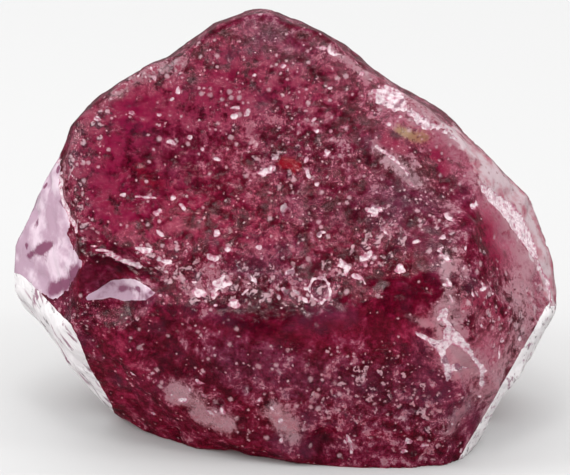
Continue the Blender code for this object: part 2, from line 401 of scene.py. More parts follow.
@dataclass(frozen=True)
class Viewpoint:
    """The camera, and where each of its pixels looks."""

    rise: float = 18.0
    lens_mm: float = 300.0
    sensor_mm: float = 36.0
    width: int = 570
    height: int = 475
    pixels_per_mm: float = 27.2
    target_mm: Triple = MIDDLE_MM
    target_pixel: Pixel = (286.0, 235.0)
    clip_m: Pair = (0.001, 10.0)

    @property
    def back(self) -> np.ndarray:
        """The direction from the stone to the camera."""
        return direction(0.0, self.rise)

    @property
    def right(self) -> np.ndarray:
        """The camera's right."""
        return np.array((1.0, 0.0, 0.0))

    @property
    def up(self) -> np.ndarray:
        """The camera's up."""
        return np.cross(self.back, self.right)

    @property
    def step(self) -> float:
        """How far apart two pixels look, at a distance of one."""
        return self.sensor_mm / self.lens_mm / self.width

    @property
    def location(self) -> np.ndarray:
        """Where the camera stands.

        Returns:
            The place, in metres.
        """
        pixel = MM / self.pixels_per_mm
        across = self.target_pixel[0] - self.width / 2
        down = self.target_pixel[1] - self.height / 2
        middle = np.array(self.target_mm) * MM - self.right * across * pixel
        middle = middle + self.up * down * pixel
        return middle + self.back * self.lens_mm / self.sensor_mm * self.width * pixel

    def ray(self, pixel: Pixel) -> np.ndarray:
        """Gives the direction that a pixel looks in.

        Args:
            pixel: Counted from the left and from the top.

        Returns:
            The direction, of length one.
        """
        across = (pixel[0] - self.width / 2) * self.step
        up = (self.height / 2 - pixel[1]) * self.step
        sight = self.right * across + self.up * up - self.back
        return sight / np.linalg.norm(sight)

    def project(self, points: np.ndarray) -> np.ndarray:
        """Gives the pixels that points in metres are seen at.

        Args:
            points: One row for each point.

        Returns:
            One row of two pixel coordinates for each point.
        """
        offset = points - self.location
        depth = -(offset @ self.back) * self.step
        across = self.width / 2 + offset @ self.right / depth
        down = self.height / 2 - offset @ self.up / depth
        return np.stack((across, down), axis=1)

    def place(self) -> None:
        """Makes the scene's camera."""
        camera = add_object("camera", bpy.data.cameras.new("camera"))
        camera.data.lens = self.lens_mm
        camera.data.sensor_width = self.sensor_mm
        camera.data.clip_start, camera.data.clip_end = self.clip_m
        camera.location = self.location
        camera.rotation_mode = "QUATERNION"
        camera.rotation_quaternion = Vector(-self.back).to_track_quat("-Z", "Y")
        bpy.context.scene.camera = camera


class Graph:
    """A node tree under construction, with short ways to add and join nodes."""

    def __init__(self, tree: bpy.types.NodeTree) -> None:
        """Keeps the tree that nodes are added to."""
        self.tree = tree

    def add(
        self, kind: str, inputs: dict[object, object] | None = None, **settings: object
    ) -> bpy.types.Node:
        """Adds a node.

        Args:
            kind: The node's type name.
            inputs: Values or output sockets, by input name or index.
            settings: The node's own properties.

        Returns:
            The node.
        """
        node = self.tree.nodes.new(kind)
        for name, value in settings.items():
            setattr(node, name, value)
        for key, value in (inputs or {}).items():
            self.fill(node.inputs[key], value)
        return node

    def fill(self, socket: Socket, value: object) -> None:
        """Joins an output to an input, or sets a value on it.

        Args:
            socket: The input.
            value: The output, or the value.
        """
        if isinstance(value, Socket):
            self.tree.links.new(value, socket)
        else:
            socket.default_value = value

    def maths(self, operation: str, *values: object, **settings: object) -> Socket:
        """Adds a Math node in a shader or geometry tree and gives its output."""
        inputs = dict(enumerate(values))
        return self.add("ShaderNodeMath", inputs, operation=operation, **settings).outputs[0]

    def times(self, first: object, second: object) -> Socket:
        """Multiplies two numbers."""
        return self.maths("MULTIPLY", first, second)

    def times_plus(self, first: object, second: object, added: object) -> Socket:
        """Multiplies two numbers and adds a third."""
        return self.maths("MULTIPLY_ADD", first, second, added)

    def centred(self, value: object) -> Socket:
        """Moves a number that runs from 0 to 1 so that its middle is 0."""
        return self.maths("SUBTRACT", value, 0.5)

    def vector(self, operation: str, *values: object, output: str = "Vector") -> Socket:
        """Adds a Vector Math node and gives one of its outputs."""
        inputs = dict(enumerate(values))
        return self.add("ShaderNodeVectorMath", inputs, operation=operation).outputs[output]

    def scaled(self, vector: object, factor: object) -> Socket:
        """Multiplies a vector by a number."""
        return self.add("ShaderNodeVectorMath", {0: vector, "Scale": factor}, operation="SCALE").outputs[0]

    def ramp(self, value: object, low: object, high: object) -> Socket:
        """Maps a number smoothly from low..high to 0..1."""
        inputs = {"Value": value, "From Min": low, "From Max": high}
        return self.add("ShaderNodeMapRange", inputs, interpolation_type="SMOOTHSTEP").outputs["Result"]

    def mix(self, share: object, first: object, second: object) -> Socket:
        """Mixes two colours by a share from 0 to 1."""
        return self.add("ShaderNodeMix", {0: share, 6: first, 7: second}, data_type="RGBA").outputs[2]

    def mix_values(self, share: object, first: object, second: object) -> Socket:
        """Mixes two numbers by a share from 0 to 1."""
        return self.add("ShaderNodeMix", {0: share, 2: first, 3: second}, data_type="FLOAT").outputs[0]

    def noise(
        self, vector: object, scale: object, detail: float = 3.0, roughness: float = 0.55
    ) -> bpy.types.Node:
        """Adds three-dimensional noise."""
        inputs = {"Vector": vector, "Scale": scale, "Detail": detail, "Roughness": roughness}
        return self.add("ShaderNodeTexNoise", inputs)

    def wander(self, vector: object, scale: object, reach: object, detail: float = 3.0) -> Socket:
        """Moves a vector to and fro by noise."""
        push = self.vector("SUBTRACT", self.noise(vector, scale, detail).outputs["Color"], HALVES)
        return self.vector("ADD", vector, self.scaled(push, reach))

    def cells(self, vector: object, size: object) -> tuple[bpy.types.Node, Socket]:
        """Adds three-dimensional Voronoi cells of a size, and gives the node and its scale."""
        scale = self.maths("DIVIDE", 1.0, size)
        return self.add("ShaderNodeTexVoronoi", {"Vector": vector, "Scale": scale}), scale

    def leaning(self, vector: Socket, size: object, lean: object) -> Socket:
        """Gives a height that leans its own way in each cell.

        Args:
            vector: The place that the cells are laid out by.
            size: How large a cell is.
            lean: How steep the cells may be.

        Returns:
            The height, 0 at the middle of each cell.
        """
        cell, _ = self.cells(vector, size)
        slope = self.scaled(self.vector("SUBTRACT", cell.outputs["Color"], HALVES), lean)
        from_middle = self.vector("SUBTRACT", vector, cell.outputs["Position"])
        return self.vector("DOT_PRODUCT", from_middle, slope, output="Value")

    def chosen(self, cell: bpy.types.Node, share: object) -> tuple[Socket, Socket]:
        """Says whether a cell is one of a share, and gives a second random number for it."""
        random = self.add("ShaderNodeSeparateXYZ", {0: cell.outputs["Color"]}).outputs
        return self.maths("LESS_THAN", random[0], share), random[1]


def new_group(
    name: str, kind: str, sockets: dict[str, str], values: dict[str, float], outputs: dict[str, str]
) -> tuple[Graph, bpy.types.NodeOutputs, bpy.types.NodeInputs]:
    """Makes an empty node group with named inputs and outputs.

    Args:
        name: The group's name.
        kind: ShaderNodeTree or GeometryNodeTree.
        sockets: Socket type of each input that is joined to something, by name.
        values: Default of each input that takes a number, by name.
        outputs: Socket type of each output, by name.

    Returns:
        The group's graph, the sockets that its inputs come from, and those that its outputs go to.
    """
    tree = bpy.data.node_groups.new(name, kind)
    for label, socket_type in sockets.items():
        tree.interface.new_socket(label, in_out="INPUT", socket_type=socket_type)
    for label, value in values.items():
        tree.interface.new_socket(label, in_out="INPUT", socket_type=FLOAT).default_value = value
    for label, socket_type in outputs.items():
        tree.interface.new_socket(label, in_out="OUTPUT", socket_type=socket_type)
    graph = Graph(tree)
    return graph, graph.add("NodeGroupInput").outputs, graph.add("NodeGroupOutput").inputs


def facet_height_group() -> bpy.types.NodeTree:
    """Builds the broken-facet effect: cells that each lean their own way, as a height in millimetres.

    Returns:
        The shader node group, with inputs Vector (in millimetres), Cell Size, Lean and Bend.
    """
    values = {"Cell Size": 0.4, "Lean": 0.4, "Bend": 0.15}
    graph, given, out = new_group("broken_facets", SHADER, PLACE, values, {"Height": FLOAT})
    scale = graph.maths("DIVIDE", FACET_WANDER, given["Cell Size"])
    bent = graph.wander(given["Vector"], scale, given["Bend"])
    graph.fill(out["Height"], graph.leaning(bent, given["Cell Size"], given["Lean"]))
    return graph.tree


def speck_group() -> bpy.types.NodeTree:
    """Builds the speck effect: ragged bright spots, each with a painted shade on one side.

    Returns:
        The shader node group, with inputs Vector, Scale, Level and Softness, and outputs Mask and Shade.
    """
    values = {"Scale": 3.0, "Level": 0.66, "Softness": 0.03}
    graph, given, out = new_group("specks", SHADER, PLACE, values, {"Mask": FLOAT, "Shade": FLOAT})
    top = graph.maths("ADD", given["Level"], given["Softness"])
    beside = graph.vector("ADD", given["Vector"], graph.vector("DIVIDE", SHADE_SIDE, given["Scale"]))
    for vector, output in ((given["Vector"], "Mask"), (beside, "Shade")):
        spots = graph.noise(vector, given["Scale"], SPECK_DETAIL, SPECK_ROUGHNESS).outputs["Fac"]
        graph.fill(out[output], graph.ramp(spots, given["Level"], top))
    return graph.tree


def dot_group() -> bpy.types.NodeTree:
    """Builds the dot effect: small spots of uneven size, strongest in the middle.

    Returns:
        The shader node group, with inputs Vector, Spacing and Radius (in millimetres) and Share, and
        output Mask.
    """
    values = {"Spacing": 0.4, "Radius": 0.08, "Share": 0.5}
    graph, given, out = new_group("dots", SHADER, PLACE, values, {"Mask": FLOAT})
    bent = graph.wander(given["Vector"], DOT_WANDER_PER_MM, DOT_WANDER_MM, 1.0)
    cell, scale = graph.cells(bent, given["Spacing"])
    chosen, size = graph.chosen(cell, given["Share"])
    reach = graph.times(graph.times(given["Radius"], scale), size)
    spot = graph.ramp(cell.outputs["Distance"], reach, graph.times(reach, DOT_HEART))
    graph.fill(out["Mask"], graph.times(spot, chosen))
    return graph.tree


@dataclass
class Effects:
    """The shader groups that several finishes place, each with its own values."""

    facets: bpy.types.NodeTree = field(default_factory=facet_height_group)
    specks: bpy.types.NodeTree = field(default_factory=speck_group)
    dots: bpy.types.NodeTree = field(default_factory=dot_group)


class Dresser:
    """A material under construction: its Principled shader, and the patterns that feed it."""

    def __init__(self, name: str, effects: Effects) -> None:
        """Starts an empty material with its position in millimetres.

        Args:
            name: The material's name.
            effects: The shader groups that it may place.
        """
        self.material = bpy.data.materials.new(name)
        self.material.use_nodes = True
        self.graph = Graph(self.material.node_tree)
        self.effects = effects
        self.shader = self.material.node_tree.nodes["Principled BSDF"]
        self.output = self.material.node_tree.nodes["Material Output"]
        coordinates = self.graph.add("ShaderNodeTexCoord")
        self.place_mm = self.graph.add(
            "ShaderNodeMapping",
            {"Vector": coordinates.outputs["Object"], "Scale": (MM_PER_METRE,) * 3},
        ).outputs[0]

    def mark(self, mark: Mark) -> Socket:
        """Reads one of the skin's marks."""
        return self.attribute(mark.value)

    def attribute(self, name: str) -> Socket:
        """Reads one of the skin's attributes."""
        return self.graph.add("ShaderNodeAttribute", attribute_name=name).outputs["Fac"]

    def grain(self, scale: float, detail: float = 3.0) -> Socket:
        """Gives noise from 0 to 1.

        Args:
            scale: How many grains there are to a millimetre.
            detail: How many finer layers it has.

        Returns:
            The noise.
        """
        return self.graph.noise(self.place_mm, scale, detail).outputs["Fac"]

    def facets(self, cell_size: float, lean: float, bend: float) -> Socket:
        """Places the broken-facet effect and gives its height."""
        return self._placed(self.effects.facets, Cell_Size=cell_size, Lean=lean, Bend=bend)["Height"]

    def dots(self, spacing: float, radius: object, share: object) -> Socket:
        """Places the dot effect and gives its mask."""
        return self._placed(self.effects.dots, Spacing=spacing, Radius=radius, Share=share)["Mask"]

    def specks(self, scale: float, level: object, softness: float) -> tuple[Socket, Socket]:
        """Places the speck effect and gives its mask and its shade."""
        placed = self._placed(self.effects.specks, Scale=scale, Level=level, Softness=softness)
        return placed["Mask"], placed["Shade"]

    def edged(self, mark: Mark, grain: Socket, ragged: float = 1.3) -> Socket:
        """Reads a mark and makes its edge follow a grain.

        Args:
            mark: The mark.
            grain: The noise that its edge follows.
            ragged: How far the noise moves the edge.

        Returns:
            A mask from 0 to 1.
        """
        graph = self.graph
        uneven = graph.times(graph.centred(grain), ragged)
        return graph.ramp(graph.maths("ADD", self.mark(mark), uneven), *MARK_EDGE)

    def cover(self, base: Socket | Colour, mask: Socket, most: float, colour: Colour) -> Socket:
        """Mixes a colour in where a mask is, and no more of it than a share."""
        return self.graph.mix(self.graph.times(mask, most), base, colour)

    def _placed(self, tree: bpy.types.NodeTree, **values: object) -> bpy.types.NodeOutputs:
        """Places a group with its own values.

        Args:
            tree: The group.
            values: Its inputs' values, with _ for a space in their names.

        Returns:
            Its outputs.
        """
        inputs = {name.replace("_", " "): value for name, value in values.items()}
        inputs["Vector"] = self.place_mm
        return self.graph.add("ShaderNodeGroup", inputs, node_tree=tree).outputs

    def feed(self, **sockets: object) -> None:
        """Joins outputs to, or sets values on, the shader's inputs, whose names have _ for a space."""
        for name, value in sockets.items():
            self.graph.fill(self.shader.inputs[name.replace("_", " ")], value)

    def bump(self, height_mm: Socket) -> None:
        """Feeds the shader's normal from a height in millimetres."""
        inputs = {"Height": height_mm, "Strength": 1.0, "Distance": MM}
        self.feed(Normal=self.graph.add("ShaderNodeBump", inputs).outputs["Normal"])

    def absorb(self, colour: Colour, density: float) -> None:
        """Makes the inside take in light, by a density for each metre."""
        inside = self.graph.add("ShaderNodeVolumeAbsorption", {"Color": colour, "Density": density})
        self.graph.fill(self.output.inputs["Volume"], inside.outputs[0])


@dataclass(frozen=True)
class StoneFinish(ABC):
    """What all finishes of the stone share.

    In every finish, facets, dots and specks hold what the dresser's method of that name takes. A grain or
    streak holds its count to a millimetre, its finer layers and, where there is a third number, how strong
    these are. An edge holds the two values that a mask rises between.

    Attributes:
        name: The material's name.
        transmission: The share of light that goes into the stone.
        ior: The index of refraction, that of corundum.
        specular: How strongly the surface mirrors, where 0.5 is what the index gives.
    """

    name: str
    transmission: float
    ior: float = 1.77
    specular: float = 0.5

    def build(self, effects: Effects) -> bpy.types.Material:
        """Builds the material.

        Args:
            effects: The shader groups that it may place.

        Returns:
            The material.
        """
        dresser = Dresser(self.name, effects)
        colour, roughness, height_mm = self.coat(dresser)
        dresser.feed(
            Base_Color=colour,
            Roughness=roughness,
            Metallic=0.0,
            IOR=self.ior,
            Specular_IOR_Level=self.specular,
            Transmission_Weight=self.transmission,
        )
        dresser.bump(height_mm)
        return dresser.material

    @abstractmethod
    def coat(self, dresser: Dresser) -> Coat:
        """Says how the surface looks.

        Args:
            dresser: The material under construction.

        Returns:
            The colour, the roughness and the height in millimetres.
        """


@dataclass(frozen=True)
class RubyFinish(StoneFinish):
    """Translucent dark red corundum: a fine crystalline mottle, pale dots, bruises, veils and dark marks.

    Among these, the dots are partly painted glints, the veils hold painted highlights, and the dark marks
    hold painted shade in hollows and under the ledge; there is also a painted glow and light painted through
    the thin rim.

    Other pairs hold the value where the stone is whole and the one where it is chipped.

    Attributes:
        tones: The colours that the mottle runs through, each with its place from 0 to 1.
        shifts: How far each mark moves the mottle towards its pale end.
        stains: The colour that each mark mixes in, and the most of it.
        spots: The marks whose stain stays inside their own strokes.
        lump_shade: The most of the painted shade on the lumps' dark side, where the stone is thick and where
            it is thin.
        dot_layers: Spacing, radius, and share of dots where the stone is whole and where it is chipped.
    """

    name: str = "ruby"
    transmission: float = 0.6
    specular: float = 0.12
    absorption: Colour = (0.87, 0.02, 0.42, 1.0)
    absorption_density: float = 330.0
    mauve: Colour = (0.20, 0.05, 0.12, 1.0)
    dot: Colour = (0.94, 0.62, 0.70, 1.0)
    # The colour of the painted shade beside each lump.
    shade: Colour = (0.085, 0.002, 0.028, 1.0)
    tones: tuple[tuple[float, Colour], ...] = (
        (0.18, (0.060, 0.000, 0.009, 1.0)),
        (0.38, (0.140, 0.001, 0.019, 1.0)),
        (0.50, (0.205, 0.005, 0.037, 1.0)),
        (0.62, (0.30, 0.017, 0.072, 1.0)),
        (0.77, (0.49, 0.105, 0.195, 1.0)),
        (0.90, (0.90, 0.600, 0.680, 1.0)),
    )
    shifts: tuple[tuple[Mark, float], ...] = (
        (Mark.CHIPPED, 0.04),
        # Light painted through the thin rim pales the mottle.
        (Mark.THIN, 0.19),
        # The veil and the painted highlights pale the mottle.
        (Mark.VEILED, 0.07),
        (Mark.BRUISED, 0.18),
        # Dark marks and painted shade darken the mottle.
        (Mark.DARK, -0.22),
    )
    stains: tuple[tuple[Mark, Colour, float], ...] = (
        (Mark.MAUVE, mauve, 0.45),
        # Light painted through the thin rim mixes in pink.
        (Mark.THIN, (0.84, 0.25, 0.37, 1.0), 0.52),
        # The veil and the painted highlights mix in pale pink.
        (Mark.VEILED, (0.86, 0.56, 0.63, 1.0), 0.7),
        (Mark.BRUISED, (0.62, 0.38, 0.44, 1.0), 0.45),
        # Painted iridescence, mixed in as a yellow tint.
        (Mark.TINTED, (0.66, 0.42, 0.22, 1.0), 0.8),
        # Painted glow, light shining through the stone, mixed in as colour.
        (Mark.GLOWING, (0.44, 0.003, 0.075, 1.0), 0.9),
        (Mark.DEEP, (0.35, 0.000, 0.014, 1.0), 0.95),
    )
    stain_ragged: float = 1.1
    spots: tuple[Mark, ...] = (Mark.TINTED, Mark.DEEP)
    spot_edge: Pair = (0.0, 0.12)
    mottle_per_mm: float = 1.9
    mottle_detail: float = 5.0
    mottle_roughness: float = 0.79
    mottle_gain: Pair = (1.9, 3.6)
    broad_grain: Pair = (0.4, 2.0)
    broad_gain: float = 0.4
    halo_edge: Pair = (0.15, 0.5)
    halo_shift: float = 0.12
    cloud_grain: Pair = (0.55, 4.0)
    cloud_edge: Pair = (0.5, 0.72)
    cloud_most: float = 0.4
    chipped_power: float = 2.0
    lumps_per_mm: float = 2.9
    lump_level: Pair = (0.76, 0.57)
    lump_softness: float = 0.06
    lump_shade: Pair = (0.85, 0.3)
    frost_grain: Pair = (5.5, 3.0)
    frost_edge: Pair = (0.36, 0.58)
    frost_most: float = 0.9
    dot_layers: tuple[tuple[float, float, float, float], ...] = (
        (0.36, 0.16, 0.25, 1.0),
        (0.2, 0.09, 0.1, 0.9),
    )
    dot_most: float = 0.75
    roughness: Pair = (0.04, 0.12)
    bruised_roughness: float = 0.35
    tone_roughness: float = 0.1
    facets: Triple = (0.2, 1.0, 0.15)
    facet_height: Pair = (0.0, 0.5)
    mottle_height_mm: float = 0.02

    def coat(self, dresser: Dresser) -> Coat:
        """Says how the surface looks, and fills the inside.

        Args:
            dresser: The material under construction.

        Returns:
            The colour, the roughness and the height in millimetres.
        """
        graph = dresser.graph
        dresser.absorb(self.absorption, self.absorption_density)
        chipped = dresser.mark(Mark.CHIPPED)
        tone = self.tone(dresser)
        colour = self.dotted(dresser, self.stained(dresser, tone), chipped)
        rough = graph.mix_values(chipped, *self.roughness)
        rough = graph.mix_values(dresser.mark(Mark.BRUISED), rough, self.bruised_roughness)
        rough = graph.times_plus(tone, self.tone_roughness, rough)
        broken = graph.mix_values(chipped, *self.facet_height)
        broken = graph.times(dresser.facets(*self.facets), broken)
        height = graph.maths("ADD", broken, graph.times(tone, self.mottle_height_mm))
        return colour, rough, height

    def tone(self, dresser: Dresser) -> Socket:
        """Gives the mottle, moved by the marks.

        Args:
            dresser: The material under construction.

        Returns:
            The mottle, from 0 where it is dark to 1 where it is pale.
        """
        graph = dresser.graph
        mottle = graph.noise(dresser.place_mm, self.mottle_per_mm, self.mottle_detail, self.mottle_roughness)
        gain = graph.mix_values(dresser.mark(Mark.CHIPPED), *self.mottle_gain)
        tone = graph.times_plus(graph.centred(mottle.outputs["Fac"]), gain, 0.5)
        broad = graph.centred(dresser.grain(*self.broad_grain))
        tone = graph.times_plus(broad, self.broad_gain, tone)
        halo = graph.ramp(dresser.attribute(FLAKED), *self.halo_edge)
        tone = graph.times_plus(halo, self.halo_shift, tone)
        for mark, shift in self.shifts:
            tone = graph.times_plus(dresser.mark(mark), shift, tone)
        return tone

    def stained(self, dresser: Dresser, tone: Socket) -> Socket:
        """Gives the body colour: the mottle's reds, and the marks that change them.

        Args:
            dresser: The material under construction.
            tone: The mottle.

        Returns:
            The colour.
        """
        graph = dresser.graph
        ramp = graph.add("ShaderNodeValToRGB", {0: tone})
        stops = ramp.color_ramp.elements
        while len(stops) < len(self.tones):
            stops.new(1.0)
        for stop, (place, colour) in zip(stops, self.tones):
            stop.position = place
            stop.color = colour
        cloud = graph.ramp(dresser.grain(*self.cloud_grain), *self.cloud_edge)
        colour = dresser.cover(ramp.outputs["Color"], cloud, self.cloud_most, self.mauve)
        for mark, stain, most in self.stains:
            edge = dresser.edged(mark, tone, self.stain_ragged)
            if mark in self.spots:
                edge = graph.times(edge, graph.ramp(dresser.mark(mark), *self.spot_edge))
            colour = dresser.cover(colour, edge, most, stain)
        return colour

    def dotted(self, dresser: Dresser, colour: Socket, chipped: Socket) -> Socket:
        """Scatters pale lumps and dots over the body colour, more where the stone is chipped; they are partly
        painted glints.

        Args:
            dresser: The material under construction.
            colour: The body colour.
            chipped: How chipped the stone is.

        Returns:
            The colour with the lumps and dots.
        """
        graph = dresser.graph
        broken = graph.maths("POWER", chipped, self.chipped_power)
        level = graph.mix_values(broken, *self.lump_level)
        lumps, beside = dresser.specks(self.lumps_per_mm, level, self.lump_softness)
        # Painted shade beside each pale lump.
        most = graph.mix_values(dresser.mark(Mark.THIN), *self.lump_shade)
        colour = graph.mix(graph.times(beside, most), colour, self.shade)
        frost = graph.ramp(dresser.grain(*self.frost_grain), *self.frost_edge)
        colour = dresser.cover(colour, graph.times(lumps, frost), self.frost_most, self.dot)
        for spacing, radius, *shares in self.dot_layers:
            dots = dresser.dots(spacing, radius, graph.mix_values(chipped, *shares))
            colour = dresser.cover(colour, dots, self.dot_most, self.dot)
        return colour


@dataclass(frozen=True)
class WindowSheenFinish(StoneFinish):
    """A pale lilac fracture face, glossy, with mauve patches; its pale lilac and white are painted sheen: a
    painted reflection on the left window and a painted highlight on the shelf.
    """

    name: str = "pale_fracture_painted_sheen"
    transmission: float = 0.2
    lilac: Colour = (0.52, 0.35, 0.45, 1.0)
    mauve: Colour = (0.24, 0.08, 0.15, 1.0)
    white: Colour = (0.82, 0.66, 0.76, 1.0)
    broad_grain: Pair = (0.9, 4.0)
    white_edge: Pair = (0.42, 0.62)
    fine_per_mm: float = 4.0
    specks: Triple = (1.6, 0.66, 0.05)
    roughness: float = 0.12
    fine_roughness: float = 0.2
    facets: Triple = (1.2, 0.2, 0.5)
    facet_height: float = 0.4
    fine_height_mm: float = 0.02

    def coat(self, dresser: Dresser) -> Coat:
        """Says how the surface looks.

        Args:
            dresser: The material under construction.

        Returns:
            The colour, the roughness and the height in millimetres.
        """
        graph = dresser.graph
        broad = dresser.grain(*self.broad_grain)
        fine = dresser.grain(self.fine_per_mm)
        colour = graph.mix(graph.ramp(broad, *self.white_edge), self.lilac, self.white)
        colour = graph.mix(dresser.edged(Mark.MAUVE, fine), colour, self.mauve)
        specks, _ = dresser.specks(*self.specks)
        colour = graph.mix(specks, colour, self.mauve)
        rough = graph.maths("ADD", self.roughness, graph.times(fine, self.fine_roughness))
        broken = graph.times(dresser.facets(*self.facets), self.facet_height)
        height = graph.maths("ADD", broken, graph.times(fine, self.fine_height_mm))
        return colour, rough, height


@dataclass(frozen=True)
class ChipHighlightFinish(StoneFinish):
    """A small fresh chip, or a painted highlight on a ridge or streak: nearly white, pink where it is thin,
    with mauve gaps.
    """

    name: str = "frosted_chip_painted_highlight"
    transmission: float = 0.15
    white: Colour = (0.80, 0.65, 0.70, 1.0)
    pink: Colour = (0.44, 0.13, 0.21, 1.0)
    mauve: Colour = (0.23, 0.07, 0.12, 1.0)
    deepest: float = 0.7
    fine_grain: Pair = (6.0, 4.0)
    fine_gain: float = 1.2
    white_edge: Pair = (0.42, 0.80)
    gap_per_mm: float = 2.6
    gap_gain: float = 3.0
    gap_edge: Pair = (0.55, 0.75)
    gap_most: float = 0.85
    roughness: float = 0.1
    fine_roughness: float = 0.3
    facets: Triple = (0.12, 0.6, 0.1)

    def coat(self, dresser: Dresser) -> Coat:
        """Says how the surface looks.

        Args:
            dresser: The material under construction.

        Returns:
            The colour, the roughness and the height in millimetres.
        """
        graph = dresser.graph
        fine = dresser.grain(*self.fine_grain)
        depth = graph.maths("MINIMUM", dresser.attribute(FLAKED), self.deepest)
        inside = graph.times_plus(graph.centred(fine), self.fine_gain, depth)
        colour = graph.mix(graph.ramp(inside, *self.white_edge), self.pink, self.white)
        coarse = graph.centred(dresser.grain(self.gap_per_mm))
        gap = graph.times_plus(coarse, self.gap_gain, dresser.mark(Mark.MAUVE))
        colour = dresser.cover(colour, graph.ramp(gap, *self.gap_edge), self.gap_most, self.mauve)
        rough = graph.maths("ADD", self.roughness, graph.times(fine, self.fine_roughness))
        return colour, rough, dresser.facets(*self.facets)


@dataclass(frozen=True)
class BacklitRimFinish(StoneFinish):
    """The thin edge of the stone, with light painted shining through it: rose, and nearly white where the
    veil and painted highlights lie.
    """

    name: str = "pale_rim_painted_backlight"
    transmission: float = 0.3
    specular: float = 0.2
    rose: Colour = (0.43, 0.12, 0.17, 1.0)
    pale: Colour = (0.62, 0.485, 0.52, 1.0)
    dark: Colour = (0.20, 0.02, 0.05, 1.0)
    fine_grain: Pair = (1.9, 5.0)
    fine_gain: float = 2.4
    least_veil: float = 0.4
    veil_gain: float = 0.6
    pale_edge: Pair = (0.15, 0.95)
    dark_per_mm: float = 5.0
    dark_edge: Pair = (0.40, 0.30)
    dark_most: float = 0.5
    dots: Triple = (0.3, 0.12, 0.5)
    dot_most: float = 0.6
    roughness: float = 0.06
    fine_roughness: float = 0.2
    facets: Triple = (0.3, 0.5, 0.2)
    facet_height: float = 0.15

    def coat(self, dresser: Dresser) -> Coat:
        """Says how the surface looks.

        Args:
            dresser: The material under construction.

        Returns:
            The colour, the roughness and the height in millimetres.
        """
        graph = dresser.graph
        fine = dresser.grain(*self.fine_grain)
        # The veil and the painted highlights pale the rim.
        veil_and_highlight = graph.times_plus(graph.centred(fine), self.fine_gain, self.least_veil)
        veil_and_highlight = graph.times_plus(dresser.mark(Mark.VEILED), self.veil_gain, veil_and_highlight)
        colour = graph.mix(graph.ramp(veil_and_highlight, *self.pale_edge), self.rose, self.pale)
        dark = graph.ramp(dresser.grain(self.dark_per_mm), *self.dark_edge)
        colour = dresser.cover(colour, dark, self.dark_most, self.dark)
        colour = dresser.cover(colour, dresser.dots(*self.dots), self.dot_most, self.pale)
        rough = graph.times_plus(fine, self.fine_roughness, self.roughness)
        height = graph.times(dresser.facets(*self.facets), self.facet_height)
        return colour, rough, height


@dataclass(frozen=True)
class FibreSheenFinish(StoneFinish):
    """A parting face, streaked with grey and mauve along the way the stone grew; its white is partly painted
    reflection of the pale floor.
    """

    name: str = "fibrous_parting_painted_sheen"
    transmission: float = 0.12
    white: Colour = (0.86, 0.83, 0.84, 1.0)
    grey: Colour = (0.22, 0.18, 0.20, 1.0)
    mauve: Colour = (0.34, 0.17, 0.24, 1.0)
    run: Bearing = (62.6, -51.1)
    across_per_mm: float = 4.6
    along_per_mm: float = 0.3
    streak: Triple = (1.0, 4.0, 0.6)
    grey_edge: Pair = (0.41, 0.34)
    second_streak: Triple = (0.8, 3.0, 0.6)
    second_shift: Triple = (11.0, 4.0, 2.0)
    mauve_edge: Pair = (0.56, 0.66)
    roughness: float = 0.2
    streak_roughness: float = 0.3
    streak_height_mm: float = 0.12

    def coat(self, dresser: Dresser) -> Coat:
        """Says how the surface looks.

        Args:
            dresser: The material under construction.

        Returns:
            The colour, the roughness and the height in millimetres.
        """
        graph = dresser.graph
        along = tuple(direction(*self.run))
        run = graph.vector("DOT_PRODUCT", dresser.place_mm, along, output="Value")
        kept = graph.scaled(along, run)
        across = graph.scaled(graph.vector("SUBTRACT", dresser.place_mm, kept), self.across_per_mm)
        stretched = graph.vector("ADD", across, graph.scaled(kept, self.along_per_mm))
        shifted = graph.vector("ADD", stretched, self.second_shift)
        streak = graph.noise(stretched, *self.streak).outputs["Fac"]
        second = graph.noise(shifted, *self.second_streak).outputs["Fac"]
        colour = graph.mix(graph.ramp(streak, *self.grey_edge), self.white, self.grey)
        colour = graph.mix(graph.ramp(second, *self.mauve_edge), colour, self.mauve)
        rough = graph.maths("ADD", self.roughness, graph.times(streak, self.streak_roughness))
        return colour, rough, graph.times(streak, self.streak_height_mm)


